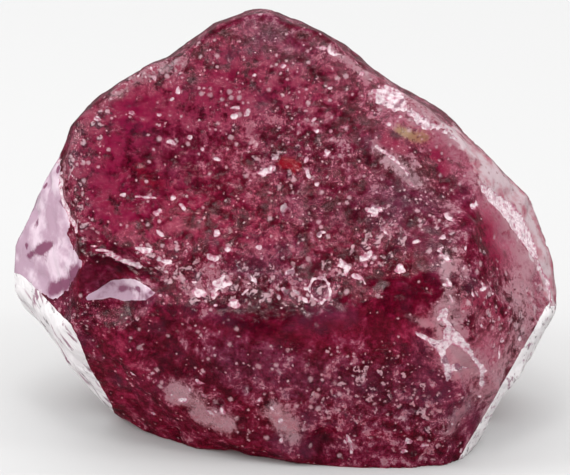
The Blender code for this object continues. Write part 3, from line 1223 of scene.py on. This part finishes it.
def wear_group(wear: dict[str, float]) -> bpy.types.NodeTree:
    """Builds the tree that wears the skin: pits, leaning chips, flakes and worn swells.

    Args:
        wear: Sizes and depths in millimetres, the share of pits and the slope of chips, each by the name of
            the input that takes it.

    Returns:
        The geometry node tree.
    """
    sockets = {"Geometry": GEOMETRY, "Material": MATERIAL}
    graph, given, out = new_group("worn_skin", "GeometryNodeTree", sockets, wear, {"Geometry": GEOMETRY})
    chipped, free, flaked = (
        graph.add("GeometryNodeInputNamedAttribute", {"Name": name}).outputs[0]
        for name in (Mark.CHIPPED.value, FREE, FLAKED)
    )
    place = graph.scaled(graph.add("GeometryNodeInputPosition").outputs[0], MM_PER_METRE)
    cell, _ = graph.cells(place, given["Pit Spacing"])
    chosen, size = graph.chosen(cell, given["Pit Share"])
    reach = graph.maths("DIVIDE", given["Pit Radius"], given["Pit Spacing"])
    reach = graph.times(reach, graph.maths("ADD", size, PIT_LEAST))
    pit = graph.maths("SUBTRACT", 1.0, graph.ramp(cell.outputs["Distance"], 0.0, reach))
    pit = graph.times(graph.times(pit, chosen), given["Pit Depth"])
    slope = graph.leaning(place, given["Chip Size"], given["Chip Lean"])
    slope = graph.times(graph.maths("MAXIMUM", slope, 0.0), chipped)
    flake = graph.times(graph.ramp(flaked, *FLAKE_EDGE), given["Flake Depth"])
    swell = graph.noise(place, graph.maths("DIVIDE", 1.0, given["Swell Size"])).outputs[0]
    swell = graph.times(graph.centred(swell), given["Swell Depth"])
    depth = pit
    for part in (slope, flake, swell):
        depth = graph.maths("ADD", depth, part)
    depth = graph.times(graph.times(depth, free), -MM)
    inwards = graph.scaled(graph.add("GeometryNodeInputNormal").outputs[0], depth)
    worn = graph.add("GeometryNodeSetPosition", {"Geometry": given["Geometry"], "Offset": inwards})
    real = graph.add("GeometryNodeRealizeInstances", {0: worn.outputs[0]})
    index = graph.add("GeometryNodeInputNamedAttribute", {"Name": FINISH_INDEX}, data_type="INT").outputs[0]
    same = {2: index, 3: Finish.RUBY.value}
    plain = graph.add("FunctionNodeCompare", same, data_type="INT", operation="EQUAL").outputs[0]
    dressing = {"Geometry": real.outputs[0], "Selection": plain, "Material": given["Material"]}
    dressed = graph.add("GeometryNodeSetMaterial", dressing)
    graph.fill(out["Geometry"], dressed.outputs[0])
    return graph.tree


@dataclass
class Flaking:
    """Where the stone has small pale chips, partly painted glints, and painted highlight lines, and what
    shape each has.

    Attributes:
        seed: For the scattered chips' places and sizes.
        half_length_mm: The shortest and the longest half length of a scattered chip.
        slimness: The least and the most of its length that it is wide.
        grain_mm: How large the bays in the chips' edges are.
        raggedness: How deep these are, as a share of a chip's half width.
        elsewhere: How many chips are scattered over the whole stone.
        named: The chips that have a place of their own.
        bands: Where further chips are scattered.
        highlight_lines: Painted highlights along edges, as long narrow chips.
    """

    seed: int = 5
    half_length_mm: Pair = (0.05, 0.18)
    slimness: Pair = (0.35, 0.8)
    grain_mm: float = 0.16
    raggedness: float = 0.8
    elsewhere: int = 30
    named: tuple[Flake, ...] = tuple(
        Flake(*row)
        for row in (
            ((266, 171), 0.3, 0.15, 18), ((306, 160), 0.16, 0.07, 60), ((308, 173), 0.2, 0.09, -60),
            ((275, 158), 0.14, 0.06, 25), ((178, 91), 0.14, 0.11, 80), ((172, 99), 0.09, 0.07),
            ((254, 75), 0.11, 0.09), ((283, 66), 0.15, 0.09, -30), ((236, 108), 0.26, 0.05, 8),
            ((234, 116), 0.17, 0.09, 10), ((131, 113), 0.13, 0.09, 30), ((160, 115), 0.12, 0.07, -20),
            ((171, 142), 0.16, 0.09, -15), ((190, 137), 0.11, 0.07), ((217, 159), 0.13, 0.06, -10),
            ((202, 149), 0.08, 0.07), ((173, 198), 0.1, 0.09), ((146, 197), 0.42, 0.05, -4),
            ((123, 194), 0.13, 0.09, 40), ((158, 212), 0.2, 0.12, 30), ((183, 207), 0.17, 0.08, -40),
            ((160, 233), 0.32, 0.07, -42), ((144, 250), 0.36, 0.12, -8), ((217, 232), 0.2, 0.12, 50),
            ((284, 209), 0.22, 0.16, 70), ((229, 249), 0.2, 0.1, -30), ((212, 257), 0.24, 0.1, -12),
            ((259, 247), 0.12, 0.08), ((166, 261), 0.22, 0.08, -20), ((199, 292), 0.36, 0.18, -4),
            ((219, 284), 0.36, 0.26, 30), ((234, 304), 0.2, 0.16), ((252, 278), 0.52, 0.08, -38),
            ((289, 272), 0.24, 0.1, 20), ((284, 290), 0.2, 0.08, -40), ((305, 300), 0.22, 0.07, -35),
            ((314, 119), 0.12, 0.06, 40), ((317, 131), 0.11, 0.09), ((330, 131), 0.08, 0.07),
            ((331, 88), 0.1, 0.06), ((389, 124), 0.09, 0.07), ((374, 210), 0.26, 0.2, 10),
            ((449, 217), 0.22, 0.12, -40), ((475, 205), 0.36, 0.1, 30), ((384, 231), 0.3, 0.05, -42),
            ((416, 242), 0.22, 0.07, 20), ((322, 232), 0.12, 0.07), ((345, 266), 0.3, 0.2, -40),
            ((356, 276), 0.26, 0.1, -30), ((366, 256), 0.3, 0.12, 30), ((399, 270), 0.22, 0.17, 40),
            ((466, 247), 0.2, 0.04, 75), ((464, 269), 0.16, 0.06, 70), ((484, 289), 0.26, 0.08, 25),
            ((199, 382), 0.18, 0.07, -20), ((222, 411), 0.14, 0.1, -60), ((345, 442), 0.3, 0.06, 70),
            ((424, 446), 0.3, 0.07, 12), ((152, 374), 0.1, 0.08), ((153, 414), 0.1, 0.08),
            ((241, 455), 0.12, 0.06, -15), ((522, 340), 0.14, 0.1), ((500, 355), 0.34, 0.06, 85),
            ((481, 384), 0.26, 0.07, -80), ((480, 396), 0.1, 0.06),
        )
    )
    bands: tuple[FlakeBand, ...] = drawn(
        FlakeBand,
        (9.0, 26, (165, 266), (200, 282), (230, 288), (262, 288), (300, 292)),
        (8.0, 12, (335, 266), (360, 264), (388, 252)), (5.0, 18, (443, 235), (446, 275), (447, 318)),
        (3.0, 7, (472, 292), (484, 286), (495, 293)), (5.0, 12, (484, 312), (500, 320), (520, 334)),
        (2.0, 7, (539, 262), (547, 280), (551, 300)), (2.0, 7, (322, 45), (345, 59), (368, 77)),
        (4.5, 16, (104, 106), (82, 134), (68, 160), (64, 190), (78, 232)),
        (3.5, 16, (118, 86), (132, 76), (150, 71), (178, 60)),
        (6.0, 14, (376, 92), (392, 102), (410, 114), (450, 134)),
        (20.0, 5, (330, 395), (400, 385), (440, 430)), (12.0, 4, (480, 320), (520, 335), (540, 300)),
        (34.0, 6, (210, 110), (300, 120), (340, 200), (240, 190)),
        (16.0, 3, (110, 330), (150, 400), (240, 420)),
        (2.5, 9, (406, 438), (403, 450), (412, 459), (434, 460)), (4.0, 5, (452, 452), (464, 452)),
        (8.0, 14, (172, 390), (196, 404), (214, 424)), (7.0, 7, (268, 408), (290, 432)),
    )
    highlight_lines: tuple[Stroke, ...] = drawn(
        Stroke,
        (0.1, 1.0, (58, 160), (61, 180), (62, 198), (69, 217), (76, 231)),
        (0.09, 1.0, (92, 247), (104, 251), (116, 257), (126, 261), (140, 266)),
        (0.06, 1.0, (376, 146), (393, 158), (408, 174), (414, 186)), (0.05, 1.0, (389, 187), (411, 184)),
        (0.055, 1.0, (313, 279), (322, 276), (329, 284), (330, 295), (322, 303), (313, 298), (309, 288),
         (313, 279)),
        (0.06, 1.0, (318, 46), (338, 55), (358, 64)), (0.1, 1.0, (538, 262), (549, 284), (551, 305)),
        (0.05, 1.0, (450, 296), (451, 309)), (0.05, 1.0, (448, 366), (458, 365), (468, 369)),
        (0.055, 1.0, (347, 436), (352, 446), (351, 456)),
    )

    def places(self, stone: "RubyCrystal") -> list[tuple[np.ndarray, np.ndarray, float, float]]:
        """Finds every chip on the stone.

        Args:
            stone: The stone that is chipped.

        Returns:
            Each chip's middle and direction, and half its length and width, in metres.
        """
        random = np.random.default_rng(self.seed)
        found = []
        for flake in self.named:
            turn = math.radians(flake.turn)
            beside = (flake.middle[0] + math.cos(turn), flake.middle[1] - math.sin(turn))
            ends = stone.seen_point(flake.middle), stone.seen_point(beside)
            if all(end is not None for end in ends):
                found.append((*ends, flake.length_mm * MM, flake.width_mm * MM))
        for band in self.bands:
            for share in random.random(band.count):
                pixel = along_path(band.path, share) + random.normal(size=2) * band.spread_px
                middle, along, size = stone.seen_point(pixel), random.normal(size=3), self.size(random)
                if middle is not None:
                    found.append((middle, middle + along * MM, *size))
        for ray in random.normal(size=(self.elsewhere, 3)):
            middle = stone.cast(ray)
            found.append((middle, middle + random.normal(size=3) * MM, *self.size(random)))
        return [
            (middle, (end - middle) / np.linalg.norm(end - middle), length, width)
            for middle, end, length, width in found
        ]

    def size(self, random: np.random.Generator) -> tuple[float, float]:
        """Draws the size of a chip, and draws small ones more often than large ones.

        Args:
            random: The generator to draw from.

        Returns:
            Half its length and half its width, in metres.
        """
        shortest, longest = self.half_length_mm
        length = shortest + (longest - shortest) * random.random() ** 2
        return length * MM, length * random.uniform(*self.slimness) * MM

    def level(self, stone: "RubyCrystal", points: np.ndarray) -> np.ndarray:
        """Says how far inside a chip points are.

        Args:
            stone: The stone that is chipped.
            points: One row for each point, in metres.

        Returns:
            For each point, up to 1 at the middle of a chip, 0 at its edge and negative outside.
        """
        level = np.full(len(points), -1.0)
        tree = KDTree(len(points))
        for index, point in enumerate(points):
            tree.insert(point, index)
        tree.balance()
        for middle, along, length, width in self.places(stone):
            near = [index for _, index, _ in tree.find_range(middle, length * 2)]
            offset = points[near] - middle
            lengthwise = offset @ along
            rest = np.linalg.norm(offset - lengthwise[:, None] * along, axis=1)
            level[near] = np.maximum(level[near], 1 - np.hypot(lengthwise / length, rest / width))
        for line in self.highlight_lines:
            away = path_distance(points, line.corners(stone)) / (line.half_width_mm * MM)
            level = np.maximum(level, line.strength - away)
        return level + self.grain(points)

    def grain(self, points: np.ndarray) -> np.ndarray:
        """How far the edges of chips are pushed out or in at points."""
        grains = points / (self.grain_mm * MM)
        return np.array([noise.noise(Vector(grain)) for grain in grains]) * self.raggedness


def along_path(path: Sequence[Pixel], share: float) -> np.ndarray:
    """Finds a place along a path.

    Args:
        path: Its corners.
        share: How far through the corners the place is, from 0 to 1.

    Returns:
        The pixel.
    """
    corners = np.array(path)
    place = np.linspace(0, 1, len(corners))
    return np.array([np.interp(share, place, corners[:, axis]) for axis in range(2)])


@dataclass
class RubyCrystal:
    """The whole stone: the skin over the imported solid, its marks and its finishes.

    Attributes:
        viewpoint: Where the pixels of the marks and outlines are seen from.
        squares: How many squares the skin has along each edge of the cube that it is cast from.
        centre_mm: The point that it is cast from.
        front_lean: How far the rays lean to the front.
        relax: How far each vertex moves to the middle of its neighbours; puff moves it out again.
        base_free_mm: The heights between which the wear begins, so that the resting face stays flat.
        edge_share: How near to an edge's start and end a cut may go, as shares of its length.
        rim_mm: The depth inside a facet's outline at which its level is 1.
        chipped_everywhere: How chipped the stone is before any stroke.
        strongest_mark: The most that the strokes of a mark may add up to.
    """

    viewpoint: Viewpoint
    squares: int
    centre_mm: Triple = MIDDLE_MM
    front_lean: float = 0.45
    relax_rounds: int = 2
    relax: float = 0.5
    puff: float = -0.52
    base_free_mm: Pair = (0.05, 0.35)
    edge_share: Pair = (0.15, 0.85)
    rim_mm: float = 0.1
    chipped_everywhere: float = 0.34
    strongest_mark: float = 1.5
    flaking: Flaking = field(default_factory=Flaking)
    wear: dict[str, float] = field(
        default_factory=lambda: {
            "Pit Spacing": 0.8,
            "Pit Radius": 0.3,
            "Pit Depth": 0.09,
            "Pit Share": 0.5,
            "Chip Size": 0.6,
            "Chip Lean": 0.6,
            "Flake Depth": 0.06,
            "Swell Size": 1.1,
            "Swell Depth": 0.08,
        }
    )
    marks: dict[Mark, tuple[Stroke, ...]] = field(default_factory=MARKS.copy)
    facets: tuple[Facet, ...] = (
        # The left window: a flat face dressed pale as a painted reflection.
        Facet(Finish.WINDOW, (-58, 10), 8.3, 1.0, 0.12, (
            (57, 120), (60, 165), (61, 195), (70, 219), (67, 236), (74, 250), (83, 263), (74, 278),
            (66, 292), (54, 300), (38, 291), (18, 276), (-10, 274), (-10, 120),
        )),
        # The lower left parting face, white partly as a painted reflection of the floor.
        Facet(Finish.FIBRE_SHEEN, (-67, -31), 9.1, 0.55, 0.03, (
            (-10, 268), (20, 274), (56, 300), (76, 334), (90, 368), (110, 402), (119, 425), (90, 425),
            (-10, 345),
        )),
        # The lower right parting face, its bright rim partly a painted reflection.
        Facet(Finish.FIBRE_SHEEN, (76, -27), 9.95, 0.32),
        # The shelf under the crack, dressed pale as a painted highlight.
        Facet(Finish.WINDOW, (-54, -6), 7.15, 1.2, 0.06, (
            (99, 289), (112, 280), (134, 279), (147, 286), (155, 293), (146, 300), (124, 301), (110, 297),
            (90, 301), (74, 299), (90, 294),
        )),
        # The thin right rim, dressed pale as painted light shining through it.
        Facet(Finish.BACKLIT_RIM, (75, 15), 8.1, 1.1, 0.35, (
            (428, 108), (452, 136), (470, 160), (482, 184), (500, 203), (514, 220), (524, 238), (532, 256),
            (540, 275), (546, 296), (552, 306), (590, 306), (590, 150), (480, 90), (440, 90),
        )),
        # Painted highlights dressed as chips: the right rim streak, the upper right streak and the fork.
        Facet(Finish.CHIP_AND_HIGHLIGHT, (79, 8), 8.6, 1.3, 0.08, (
            (481, 182), (492, 190), (504, 198), (515, 206), (523, 217), (529, 229), (535, 243), (540, 257),
            (535, 259), (526, 248), (519, 239), (512, 229), (506, 219), (498, 210), (489, 201), (481, 190),
        )),
        Facet(Finish.CHIP_AND_HIGHLIGHT, (66, 47), 7.2, 1.7, 0.25, (
            (372, 90), (384, 85), (397, 88), (404, 98), (410, 108), (420, 114), (434, 122), (446, 130),
            (455, 139), (444, 135), (430, 128), (415, 122), (404, 113), (395, 110), (386, 108), (376, 102),
        )),
        Facet(Finish.CHIP_AND_HIGHLIGHT, (45, -13), 8.75, 1.8, 0.06, (
            (440, 309), (449, 307), (447, 318), (450, 322), (453, 327), (459, 334), (465, 340), (470, 345),
            (473, 352), (478, 359), (484, 366), (488, 371), (484, 374), (486, 386), (482, 386), (480, 379),
            (479, 370), (474, 362), (468, 354), (463, 350), (457, 346), (452, 344), (446, 350), (446, 356),
            (450, 365), (458, 367), (464, 370), (459, 371), (453, 371), (451, 378), (447, 386), (446, 378),
            (443, 367), (440, 356), (436, 350), (429, 343), (421, 338), (415, 334), (414, 330), (420, 333),
            (429, 337), (437, 341), (443, 341), (443, 332), (446, 326), (443, 322), (438, 317),
        )),
    )
    tree: BVHTree = field(init=False)

    def build(self, effects: Effects) -> bpy.types.Object:
        """Builds, wears and dresses the stone.

        Args:
            effects: The shader groups that the finishes place.

        Returns:
            The finished piece.
        """
        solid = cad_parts[NODE].data
        self.tree = BVHTree.FromPolygons(
            [v.co for v in solid.vertices], [tuple(p.vertices) for p in solid.polygons]
        )
        bm = self.cast_skin()
        index = self.part_finishes(bm)
        mesh = bpy.data.meshes.new(PIECE)
        bm.to_mesh(mesh)
        bm.free()
        mesh.shade_smooth()
        self.mark_skin(mesh)
        piece = add_object(PIECE, mesh)
        for finish in (RubyFinish(), WindowSheenFinish(), FibreSheenFinish(), ChipHighlightFinish(), BacklitRimFinish()):
            mesh.materials.append(finish.build(effects))
        mesh.polygons.foreach_set("material_index", index)
        self.wear_skin(piece)
        self.keep_in_box(piece.data)
        return piece

    @property
    def centre(self) -> np.ndarray:
        """The point that the skin is cast from, in metres."""
        return np.array(self.centre_mm) * MM

    def cast(self, ray: Sequence[float]) -> np.ndarray:
        """The point of the solid that a ray from its centre leaves by."""
        return np.array(self.tree.ray_cast(Vector(self.centre), Vector(ray))[0])

    def cast_skin(self) -> bmesh.types.BMesh:
        """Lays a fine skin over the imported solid, and relaxes it without shrinking it.

        Returns:
            The skin.
        """
        bm = bmesh.new()
        bmesh.ops.create_cube(bm, size=2.0)
        bmesh.ops.subdivide_edges(bm, edges=bm.edges[:], cuts=self.squares - 1, use_grid_fill=True)
        for vert in bm.verts:
            # The tangent spaces the rays evenly by angle, so that no square is much larger than another.
            ray = Vector(math.tan(c * math.pi / 4) for c in vert.co).normalized()
            vert.co = self.cast(ray + Vector((0.0, -self.front_lean, 0.0)))
        standing = [vert for vert in bm.verts if vert.co.z > self.base_free_mm[0] * MM]
        for factor in (self.relax, self.puff) * self.relax_rounds:
            bmesh.ops.smooth_vert(
                bm, verts=standing, factor=factor, use_axis_x=True, use_axis_y=True, use_axis_z=True
            )
        bmesh.ops.recalc_face_normals(bm, faces=bm.faces[:])
        return bm

    def part_finishes(self, bm: bmesh.types.BMesh) -> np.ndarray:
        """Cuts the skin along the edges of its pale facets and chips.

        Args:
            bm: The skin, which gets new edges there.

        Returns:
            Which finish each face has.
        """
        finish = bm.faces.layers.int.new(FINISH_INDEX)
        flaked = bm.verts.layers.float.new(FLAKED)
        levels = [(facet.finish, partial(self.facet_level, facet)) for facet in self.facets]
        levels.append((Finish.CHIP_AND_HIGHLIGHT, partial(self.flaking.level, self)))
        for kind, find_level in levels:
            value = find_level(np.array([vert.co for vert in bm.verts]))
            level = dict(zip(bm.verts, value))
            self.cut_at_level(bm, level)
            for face in bm.faces:
                if sum(level[vert] for vert in face.verts) > 0:
                    face[finish] = kind.value
            if kind is Finish.CHIP_AND_HIGHLIGHT:
                for vert in bm.verts:
                    vert[flaked] = max(vert[flaked], min((level[vert] + 1.0) / 2.0, 1.0))
        return np.array([face[finish] for face in bm.faces], np.int32)

    def cut_at_level(self, bm: bmesh.types.BMesh, level: dict[bmesh.types.BMVert, float]) -> None:
        """Adds edges where a level crosses zero.

        Args:
            bm: The mesh.
            level: The level at each vertex, which gains the new vertices.
        """
        least, most = self.edge_share
        crossings = set()
        for edge in bm.edges[:]:
            start, end = edge.verts
            if (level[start] > 0) != (level[end] > 0):
                share = level[start] / (level[start] - level[end])
                _, vert = bmesh.utils.edge_split(edge, start, min(max(share, least), most))
                level[vert] = 0.0
                crossings.add(vert)
        for face in {face for vert in crossings for face in vert.link_faces}:
            ends = [vert for vert in face.verts if vert in crossings]
            if len(ends) == 2:
                bmesh.utils.face_split(face, *ends)

    def facet_level(self, facet: Facet, points: np.ndarray) -> np.ndarray:
        """Says how far inside a facet points are.

        Args:
            facet: The facet.
            points: One row for each point, in metres.

        Returns:
            For each point, 0 at the facet's edge, 1 at the depth of the rim, and negative outside.
        """
        off_plane = (points - self.centre) @ direction(*facet.facing) * MM_PER_METRE - facet.distance_mm
        level = facet.slack_mm - np.abs(off_plane)
        if facet.outline:
            inside = outline_depth(self.viewpoint.project(points), facet.outline)
            level = np.minimum(level, inside / self.viewpoint.pixels_per_mm)
        return (level + self.flaking.grain(points) * facet.ragged_mm) / self.rim_mm

    def seen_point(self, pixel: Pixel) -> np.ndarray | None:
        """The point of the solid that a pixel sees, or None where it misses."""
        hit = self.tree.ray_cast(Vector(self.viewpoint.location), Vector(self.viewpoint.ray(pixel)))[0]
        return None if hit is None else np.array(hit)

    def mark_skin(self, mesh: bpy.types.Mesh) -> None:
        """Keeps each mark as an attribute of the skin.

        Args:
            mesh: The skin.
        """
        points = vertex_points(mesh)
        for mark, strokes in self.marks.items():
            value = np.full(len(points), self.chipped_everywhere if mark is Mark.CHIPPED else 0.0)
            for stroke in strokes:
                away = path_distance(points, stroke.corners(self)) / (stroke.half_width_mm * MM)
                value += stroke.strength * np.exp(-(away**2))
            self.keep(mesh, mark.value, np.clip(value, 0.0, self.strongest_mark))
        self.keep(mesh, FREE, smooth_step(points[:, 2] * MM_PER_METRE, *self.base_free_mm))

    @staticmethod
    def keep(mesh: bpy.types.Mesh, name: str, value: np.ndarray) -> None:
        """Keeps one number for each vertex."""
        mesh.attributes.new(name, "FLOAT", "POINT").data.foreach_set("value", value.astype(np.float32))

    def wear_skin(self, piece: bpy.types.Object) -> None:
        """Runs the wear tree on the skin and keeps its result as a plain mesh.

        Args:
            piece: The skin's object.
        """
        tree = wear_group(self.wear)
        modifier = piece.modifiers.new(tree.name, "NODES")
        modifier.node_group = tree
        values = self.wear | {"Material": piece.data.materials[0]}
        for item in tree.interface.items_tree:
            if item.item_type == "SOCKET" and item.name in values:
                modifier[item.identifier] = values[item.name]
        evaluated = piece.evaluated_get(bpy.context.evaluated_depsgraph_get())
        worn = bpy.data.meshes.new_from_object(evaluated)
        piece.modifiers.remove(modifier)
        piece.data = worn
        worn.name = PIECE

    @staticmethod
    def keep_in_box(mesh: bpy.types.Mesh) -> None:
        """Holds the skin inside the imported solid's box.

        Args:
            mesh: The skin.
        """
        points = np.clip(vertex_points(mesh), *CAD_BOX)
        mesh.vertices.foreach_set("co", points.ravel())
        mesh.update()


def vertex_points(mesh: bpy.types.Mesh) -> np.ndarray:
    """Gives the places of a mesh's vertices.

    Args:
        mesh: The mesh.

    Returns:
        One row for each vertex.
    """
    points = np.empty(len(mesh.vertices) * 3)
    mesh.vertices.foreach_get("co", points)
    return points.reshape(-1, 3)


def path_distance(points: np.ndarray, corners: Sequence[np.ndarray]) -> np.ndarray:
    """Measures how far points are from a line.

    Args:
        points: One row for each point.
        corners: The line's corners, in the same unit.

    Returns:
        The distance of each point.
    """
    nearest = np.linalg.norm(points - corners[0], axis=1)
    for start, end in zip(corners, corners[1:]):
        run = end - start
        share = np.clip((points - start) @ run / (run @ run), 0, 1)
        nearest = np.minimum(nearest, np.linalg.norm(points - start - share[:, None] * run, axis=1))
    return nearest


def outline_depth(pixels: np.ndarray, outline: Sequence[Pixel]) -> np.ndarray:
    """Measures how deep inside a closed outline pixels are.

    Args:
        pixels: One row for each pixel.
        outline: The outline's corners.

    Returns:
        The depth of each, negative outside the outline.
    """
    corners = np.array((*outline, outline[0]), float)
    inside = np.zeros(len(pixels), bool)
    x, y = pixels.T
    for start, end in zip(corners, corners[1:]):
        run = end - start
        if run[1]:
            crosses = (start[1] > y) != (end[1] > y)
            inside ^= crosses & (x < run[0] * (y - start[1]) / run[1] + start[0])
    nearest = path_distance(pixels, corners)
    return np.where(inside, nearest, -nearest)


@dataclass(frozen=True)
class Softbox:
    """A square soft light.

    Attributes:
        bearing: Degrees from the front towards the right.
        rise: Degrees above the horizontal.
        distance: From the stone, in metres.
        size: Its side, in metres.
        radiance: How bright its surface is, where the background is 1.
    """

    bearing: float
    rise: float
    distance: float
    size: float
    radiance: float


def mirrored_ray(graph: Graph) -> Socket:
    """Says whether a ray left a glossy surface without going through it.

    Args:
        graph: The graph of the tree that asks.

    Returns:
        1 for such a ray, and 0 for any other.
    """
    path = graph.add("ShaderNodeLightPath").outputs
    rays = path["Is Glossy Ray"], path["Is Transmission Ray"]
    return graph.maths("SUBTRACT", *rays, use_clamp=True)


@dataclass
class Studio:
    """The pale floor, the soft lights and the background light.

    Attributes:
        viewpoint: Where the stone is seen from; the softboxes turn to its target.
        mirrored_floor: The floor's colour as the stone mirrors it.
        front_light: How bright the background is in front of the stone.
        back_light: How bright it is behind the stone.
        back_edge: Where the one changes to the other, from -1 in front to 1 behind.
        mirrored_light: How bright the stone mirrors it, in front and behind.
        mirrored_edge: Where the one changes to the other.
        backdrop: How bright it looks by itself.
    """

    viewpoint: Viewpoint
    floor_size: float = 4.0
    floor_colour: Colour = (0.53, 0.53, 0.53, 1.0)
    mirrored_floor: Colour = (0.05, 0.04, 0.04, 1.0)
    floor_roughness: float = 0.9
    light_bounces: int = 8
    front_light: float = 1.5
    back_light: float = 1.6
    back_edge: Pair = (-0.8, 0.6)
    mirrored_light: Pair = (0.03, 0.35)
    mirrored_edge: Pair = (0.3, 0.95)
    backdrop: float = 0.94
    softboxes: dict[str, Softbox] = field(
        default_factory=lambda: {
            "top_softbox": Softbox(-12, 66, 0.16, 0.035, 10.0),
            "left_softbox": Softbox(-80, 35, 0.16, 0.04, 11.0),
            "right_softbox": Softbox(70, 40, 0.16, 0.025, 12.0),
        }
    )

    def build(self) -> None:
        """Builds the floor, the lights and the world."""
        self.lay_floor()
        for name, box in self.softboxes.items():
            self.hang(name, box)
        self.light_world()
        scene = bpy.context.scene
        scene.view_settings.view_transform = "Standard"
        scene.cycles.max_bounces = self.light_bounces
        scene.cycles.transmission_bounces = self.light_bounces

    def lay_floor(self) -> None:
        """Lays the floor under the stone."""
        half = self.floor_size / 2
        mesh = bpy.data.meshes.new("floor")
        corners = [(-half, -half, 0.0), (half, -half, 0.0), (half, half, 0.0), (-half, half, 0.0)]
        mesh.from_pydata(corners, [], [(0, 1, 2, 3)])
        material = bpy.data.materials.new("floor")
        material.use_nodes = True
        graph = Graph(material.node_tree)
        shader = material.node_tree.nodes["Principled BSDF"]
        colour = graph.mix(mirrored_ray(graph), self.floor_colour, self.mirrored_floor)
        graph.fill(shader.inputs["Base Color"], colour)
        graph.fill(shader.inputs["Roughness"], self.floor_roughness)
        mesh.materials.append(material)
        floor = add_object("floor", mesh)

    def hang(self, name: str, box: Softbox) -> None:
        """Hangs one softbox, turned to the stone.

        Args:
            name: Its name.
            box: Its place, size and brightness.
        """
        lamp = bpy.data.lights.new(name, "AREA")
        lamp.size = box.size
        lamp.energy = box.radiance * math.pi * box.size**2
        light = add_object(name, lamp)
        away = Vector(direction(box.bearing, box.rise))
        light.location = Vector(self.viewpoint.target_mm) * MM + away * box.distance
        light.rotation_mode = "QUATERNION"
        light.rotation_quaternion = away.to_track_quat("Z", "Y")

    def light_world(self) -> None:
        """Lights the world white, brighter behind the stone than in front of it."""
        world = bpy.data.worlds.new("studio")
        bpy.context.scene.world = world
        world.use_nodes = True
        graph = Graph(world.node_tree)
        sky = world.node_tree.nodes["Background"]
        place = graph.add("ShaderNodeTexCoord").outputs["Generated"]
        side = graph.add("ShaderNodeSeparateXYZ", {0: place}).outputs[1]
        light = graph.mix_values(graph.ramp(side, *self.back_edge), self.front_light, self.back_light)
        mirrored = graph.mix_values(graph.ramp(side, *self.mirrored_edge), *self.mirrored_light)
        light = graph.mix_values(mirrored_ray(graph), light, mirrored)
        seen = graph.add("ShaderNodeLightPath").outputs["Is Camera Ray"]
        light = graph.mix_values(seen, light, self.backdrop)
        graph.fill(sky.inputs["Strength"], light)
        graph.fill(sky.inputs["Color"], (1.0,) * 4)


def main() -> None:
    """Builds the camera, the stone and the studio."""
    logging.basicConfig(level=logging.INFO, format="%(message)s")
    viewpoint = Viewpoint()
    viewpoint.place()
    squares = SQUARES
    stone = RubyCrystal(viewpoint, squares).build(Effects())
    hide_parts(NODE)
    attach(stone, "root")
    LOG.info("%s: %d faces", stone.name, len(stone.data.polygons))
    Studio(viewpoint).build()


if __name__ == "__main__":
    main()
